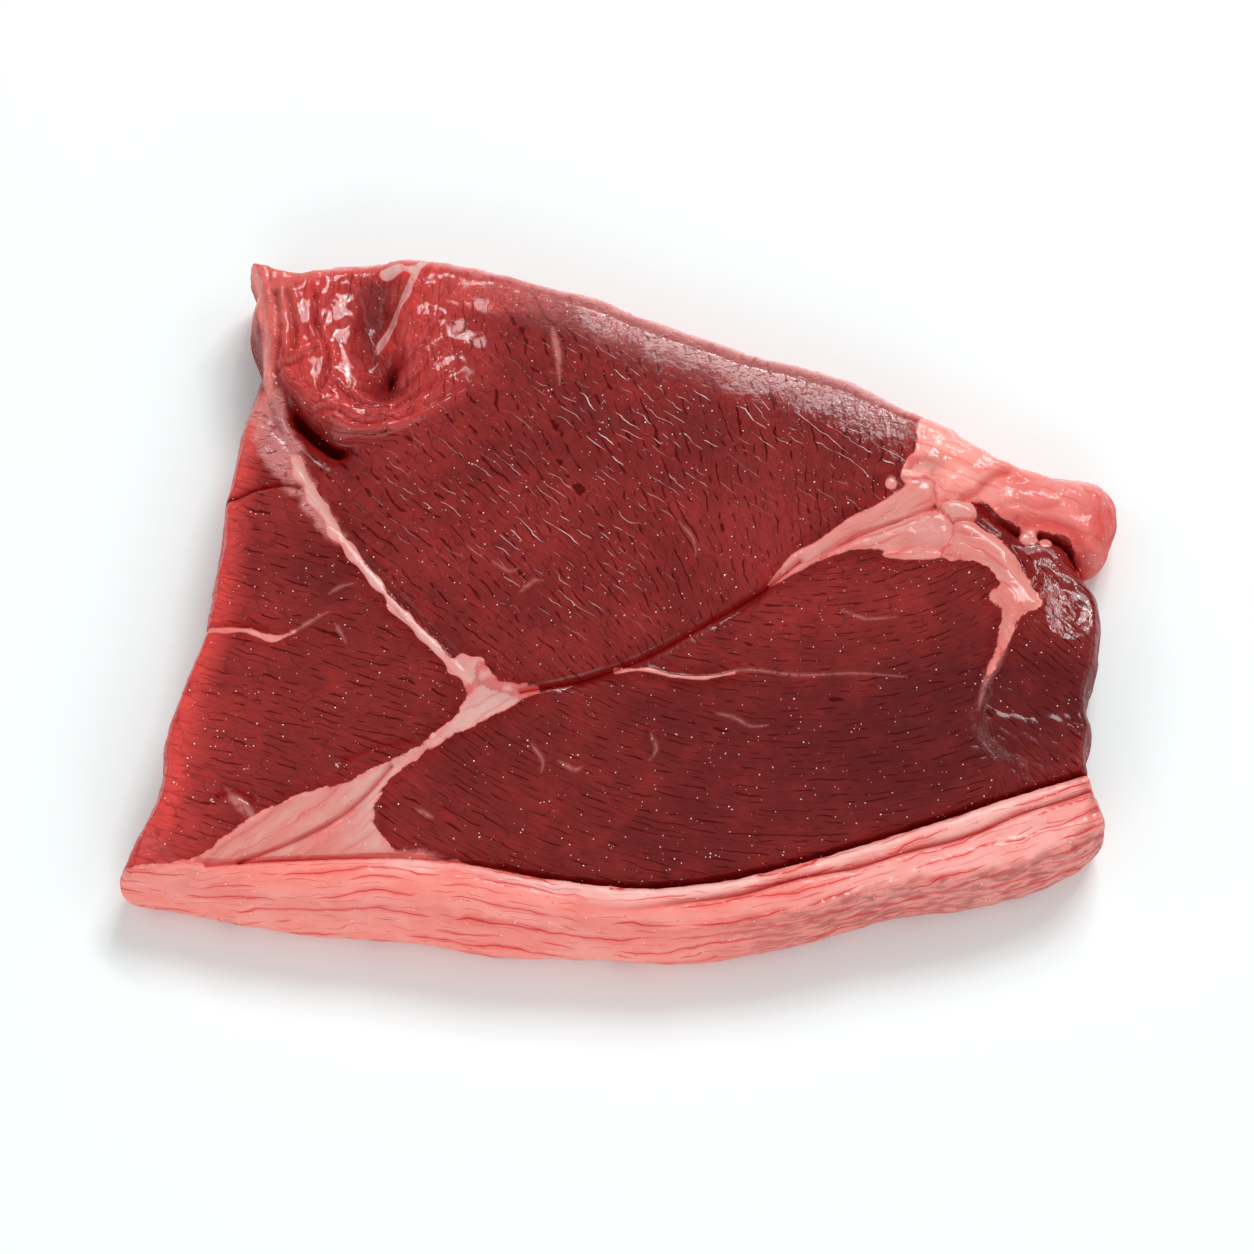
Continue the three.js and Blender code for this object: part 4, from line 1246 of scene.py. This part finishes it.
def fat_finish(tree, place):
    """Share, colour and relief of the fat: lobes drawn out along its flow, with red veins between them."""
    names = ("pallor", "blush", "bruise", "veined", "toned", "ragged", "border", "crease", "lumps")
    shares = (tree.attribute(name) for name in names)
    pallor, blush, bruise, veined, toned, raggedness, border, crease, lumps = shares
    ragged = (tree.clouds(place, 1 / 5) - 0.5) * 2.6 + (tree.clouds(place, 1 / 1.3) - 0.5) * 1.1
    depth = tree.attribute("fat") + ragged * raggedness * (1 - crease)
    share = depth.between(-0.16, 0.2)
    streams = wandering(tree, tree.attribute("flow", True), place, 9.0, 1.5)
    stretched_out = tree.stretched(streams, (0.07, 0.30, 0.22))
    closer = tree.vector("ADD", tree.stretched(streams, (0.12, 0.58, 0.4)), (7, 3, 0))
    inside = 1 - border
    veins = threads(tree, stretched_out, 0.9, 0.070, 0.38) * inside * veined
    side_veins = threads(tree, closer, 1.5, 0.090, 0.43) * inside * veined
    near_vein = threads(tree, stretched_out, 0.9, 0.32, 0.40) * inside * veined
    mottle = tree.clouds(place, 1 / 3.0, 3.0, 0.6)
    pale = tree.long_clouds(streams, (0.06, 0.16, 0.15), 3.0, 0.55).between(0.36, 0.66)
    rosy = tree.long_clouds(streams, (0.08, 0.16, 0.15), 2.0, 0.55).between(0.5, 0.72)
    specks = Number(tree, tree.cells(place, "F1", 0.40, 1.0).outputs["Distance"]).between(0.10, 0.06)
    fat = tree.tint(pale, paint(250, 158, 148), paint(252, 186, 176))
    fat = tree.over(fat, veined.between(0.1, 0.9) * 0.55, 250, 124, 113)
    fat = tree.over(fat, pallor * 0.72, 248, 206, 200)
    fat = tree.over(fat, rosy * 0.45, 244, 128, 118)
    fat = tree.over(fat, near_vein * 0.42, 236, 92, 88)
    # dark red at the tail's end and lower edge: partly the lean's own red, partly painted shade
    fat = tree.over(fat, blush * 0.85, 208, 60, 58)
    # painted shade on the cap's side wall, mottled in streaks
    streaks = tree.long_clouds(streams, (0.22, 0.6, 0.6)).between(0.38, 0.62)
    side_wall_shade_colour = tree.tint(streaks, paint(158, 54, 50), paint(222, 130, 120))
    fat = tree.tint(bruise * (0.5 + mottle * 0.4), fat, side_wall_shade_colour)
    # mottled tone, with painted shade darkening the level lobes and seams by a quarter
    fat = tree.shaded(fat, (0.93 + mottle * 0.14) * (1 - toned * 0.25))
    fat = tree.over(fat, side_veins * 0.6, 218, 62, 58)
    fat = tree.over(fat, veins * 0.85, 214, 40, 40)
    fat = tree.over(fat, specks * 0.5, 202, 54, 50)
    fat = tree.over(fat, depth.between(0.9, 0.1) * 0.5, 228, 104, 98)
    fat = tree.over(fat, border**4 * 0.6, 200, 48, 46)
    # dark red in the fat's creases and the groove by the lip: partly the lean's own red in the gap, partly
    # painted shade
    fat = tree.over(fat, crease * 0.9, 190, 22, 22)
    fat = tree.over(fat, crease.between(0.7, 1.0) * 0.75, 112, 10, 16)
    relief = near_vein * -0.05 - side_veins * 0.01
    relief = relief + tree.long_clouds(streams, (0.3, 0.45, 0.4), 1.0) * 0.22 * inside
    ribs = tree.long_clouds(streams, (0.62, 0.13, 0.2)) * lumps.between(0.45, 0.7)
    small_lumps = tree.clouds(place, 1 / 2.4, 1.0) * (0.12 + bruise * 0.3 + lumps.between(0.2, 0.5) * 0.25)
    return share, fat, relief + ribs * 0.3 * inside + small_lumps


def wet_meat():
    material, tree = new_finish("wet_raw_meat")
    place = tree.place()
    lean, lean_relief, line = lean_finish(tree, place)
    share, fat, fat_relief = fat_finish(tree, place)
    colour = tree.tint(share, lean, fat)
    gloss, matte = tree.attribute("gloss"), tree.attribute("matte")
    relief = (lean_relief * (1 - share) + fat_relief * share) * (1 - gloss * 0.4)
    bump = tree.node("ShaderNodeBump", {"Strength": 1.0, "Distance": MM, "Height": relief})
    roughness = 0.11 + (tree.clouds(place, 1 / 4.0) - 0.5) * 0.10 - gloss * 0.04 + share * 0.06
    sockets = {
        "Base Color": colour,
        "IOR": 1.4,
        "Subsurface Weight": 0.3,
        "Subsurface Radius": (1.0, 0.25, 0.2),
        "Subsurface Scale": 0.0012,
    }
    wet = {**sockets, "Roughness": roughness, "Normal": bump.outputs[0]}
    wet = tree.node("ShaderNodeBsdfPrincipled", wet, subsurface_method="RANDOM_WALK")
    dull = {**sockets, "Roughness": 0.8, "Specular IOR Level": 0.0}
    dull = tree.node("ShaderNodeBsdfPrincipled", dull, subsurface_method="RANDOM_WALK")
    sockets = {0: matte.most(line * (1 - share) * 0.8), 1: wet.outputs[0], 2: dull.outputs[0]}
    surface = tree.node("ShaderNodeMixShader", sockets)
    tree.node("ShaderNodeOutputMaterial", {"Surface": surface.outputs[0]})
    return material


def juice_glint_finish():
    material, tree = new_finish("juice_painted_glints")
    thick = tree.clouds(tree.place(), 1 / 9)
    sockets = {
        # the beads' pale colour is a painted highlight, so that each reads as a glint
        "Base Color": tree.tint(thick.between(0.35, 0.65), paint(232, 176, 172), paint(255, 240, 238)),
        "Roughness": 0.06 + thick * 0.06,
        "IOR": 1.36,
        "Coat Weight": 0.5,
        "Coat Roughness": 0.03,
    }
    surface = tree.node("ShaderNodeBsdfPrincipled", sockets)
    tree.node("ShaderNodeOutputMaterial", {"Surface": surface.outputs[0]})
    return material


# --------------------------------------------------------------------------------------------------
# The steak
def carved_steak(finish):
    points, faces, numbers, layouts = steak_points()
    mesh = bpy.data.meshes.new("steak_form")
    mesh.from_pydata((points * MM).tolist(), [], faces.tolist())
    for name, values in numbers.items():
        layer = mesh.attributes.new(name, "FLOAT", "POINT")
        layer.data.foreach_set("value", values.astype(np.float32))
    for name, layout in layouts.items():
        layer = mesh.attributes.new(name, "FLOAT_VECTOR", "POINT")
        layer.data.foreach_set("vector", layout.astype(np.float32).ravel())
    mesh.shade_smooth()
    form = placed("steak_form", mesh)
    inputs = {"Bundle rise": 1.0, "Fat lump size": 5.0, "Unevenness": 0.4, "Finish": finish}
    steak = grown(form, "steak_meat", carving_tree(), inputs)
    bpy.data.objects.remove(form)
    return steak


def settle(piece):
    """Nothing sinks into the board."""
    co = np.empty(len(piece.data.vertices) * 3, np.float32)
    piece.data.vertices.foreach_get("co", co)
    co = co.reshape(-1, 3)
    co[:, 2] = np.maximum(co[:, 2], 0)
    piece.data.vertices.foreach_set("co", co.ravel())
    piece.data.update()


steak = carved_steak(wet_meat())
settle(steak)
inputs = {"Beads per square metre": 80000.0, "Radius": 0.145 * MM, "Seed": RANDOM_SEED, "Finish": juice_glint_finish()}
beads = grown(steak, "juice_beads", beads_tree(), inputs)
settle(beads)
for piece in (steak, beads):
    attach(piece, "root")
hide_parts("steak")

# --------------------------------------------------------------------------------------------------
# Floor, light and camera
FLOOR_HALF = 4.0  # metres
SKY = 0.38
LIGHTS = [  # name, place and size in metres, and brightness, where a white board in plain light is 1
    ("back_key", (0.48, 1.19, 1.53), (0.90, 0.66), 9.5),
    ("spark", (0.30, 1.40, 1.40), (0.10, 0.10), 60),
    ("spark", (0.62, 1.20, 1.50), (0.10, 0.10), 60),
    ("spark", (0.85, 1.00, 1.52), (0.10, 0.10), 60),
    ("front_fill", (-0.1, -1.75, 1.05), (3.0, 1.2), 1.5),
    ("left_fill", (-1.6, 0.0, 1.5), (1.6, 1.2), 0.8),
    ("right_fill", (1.6, 0.0, 1.5), (1.6, 1.2), 0.8),
]
CAMERA_AIM = Vector((0.114, -6.557, 12.0)) * MM
CAMERA_DISTANCE = 0.9
CAMERA_ELEVATION = math.radians(70)
FOCAL_SHARE = 3987 / 1254  # focal length over the frame's width
SENSOR = 36.0


def pale_floor():
    material, tree = new_finish("pale_floor")
    shade = tree.tint(tree.clouds(tree.place(), 1 / 90), paint(244, 252, 252), paint(246, 253, 253))
    sockets = {"Base Color": shade, "Roughness": 0.9, "Specular IOR Level": 0.1}
    surface = tree.node("ShaderNodeBsdfPrincipled", sockets)
    tree.node("ShaderNodeOutputMaterial", {"Surface": surface.outputs[0]})
    mesh = bpy.data.meshes.new("floor")
    corners = [(x * FLOOR_HALF, y * FLOOR_HALF, 0) for x, y in ((-1, -1), (1, -1), (1, 1), (-1, 1))]
    mesh.from_pydata(corners, [], [(0, 1, 2, 3)])
    mesh.materials.append(material)
    placed("floor", mesh)


def softbox(name, place, size, brightness):
    """An area light that faces the middle of the scene."""
    light = bpy.data.lights.new(name, "AREA")
    light.shape = "RECTANGLE"
    light.size, light.size_y = size
    light.energy = brightness * math.pi * size[0] * size[1]
    lamp = placed(name, light)
    lamp.location = place
    lamp.rotation_euler = (-Vector(place)).to_track_quat("-Z", "Y").to_euler()


def studio():
    world = bpy.data.worlds.new("studio")
    world.use_nodes = True
    world.node_tree.nodes.clear()
    tree = Tree(world.node_tree)
    sky = tree.node("ShaderNodeBackground", {"Color": (1.0, 1.0, 1.0, 1.0), "Strength": SKY})
    tree.node("ShaderNodeOutputWorld", {"Surface": sky.outputs[0]})
    bpy.context.scene.world = world
    for row in LIGHTS:
        softbox(*row)
    bpy.context.scene.view_settings.view_transform = "Standard"
    bpy.context.scene.view_settings.look = "None"


def camera():
    lens = bpy.data.cameras.new("camera")
    lens.sensor_width = SENSOR
    lens.lens = SENSOR * FOCAL_SHARE
    lens.clip_start = 0.01
    eye = placed("camera", lens)
    back = Vector((0, -math.cos(CAMERA_ELEVATION), math.sin(CAMERA_ELEVATION)))
    eye.location = CAMERA_AIM + back * CAMERA_DISTANCE
    eye.rotation_euler = (math.pi / 2 - CAMERA_ELEVATION, 0, 0)
    bpy.context.scene.camera = eye


pale_floor()
studio()
camera()
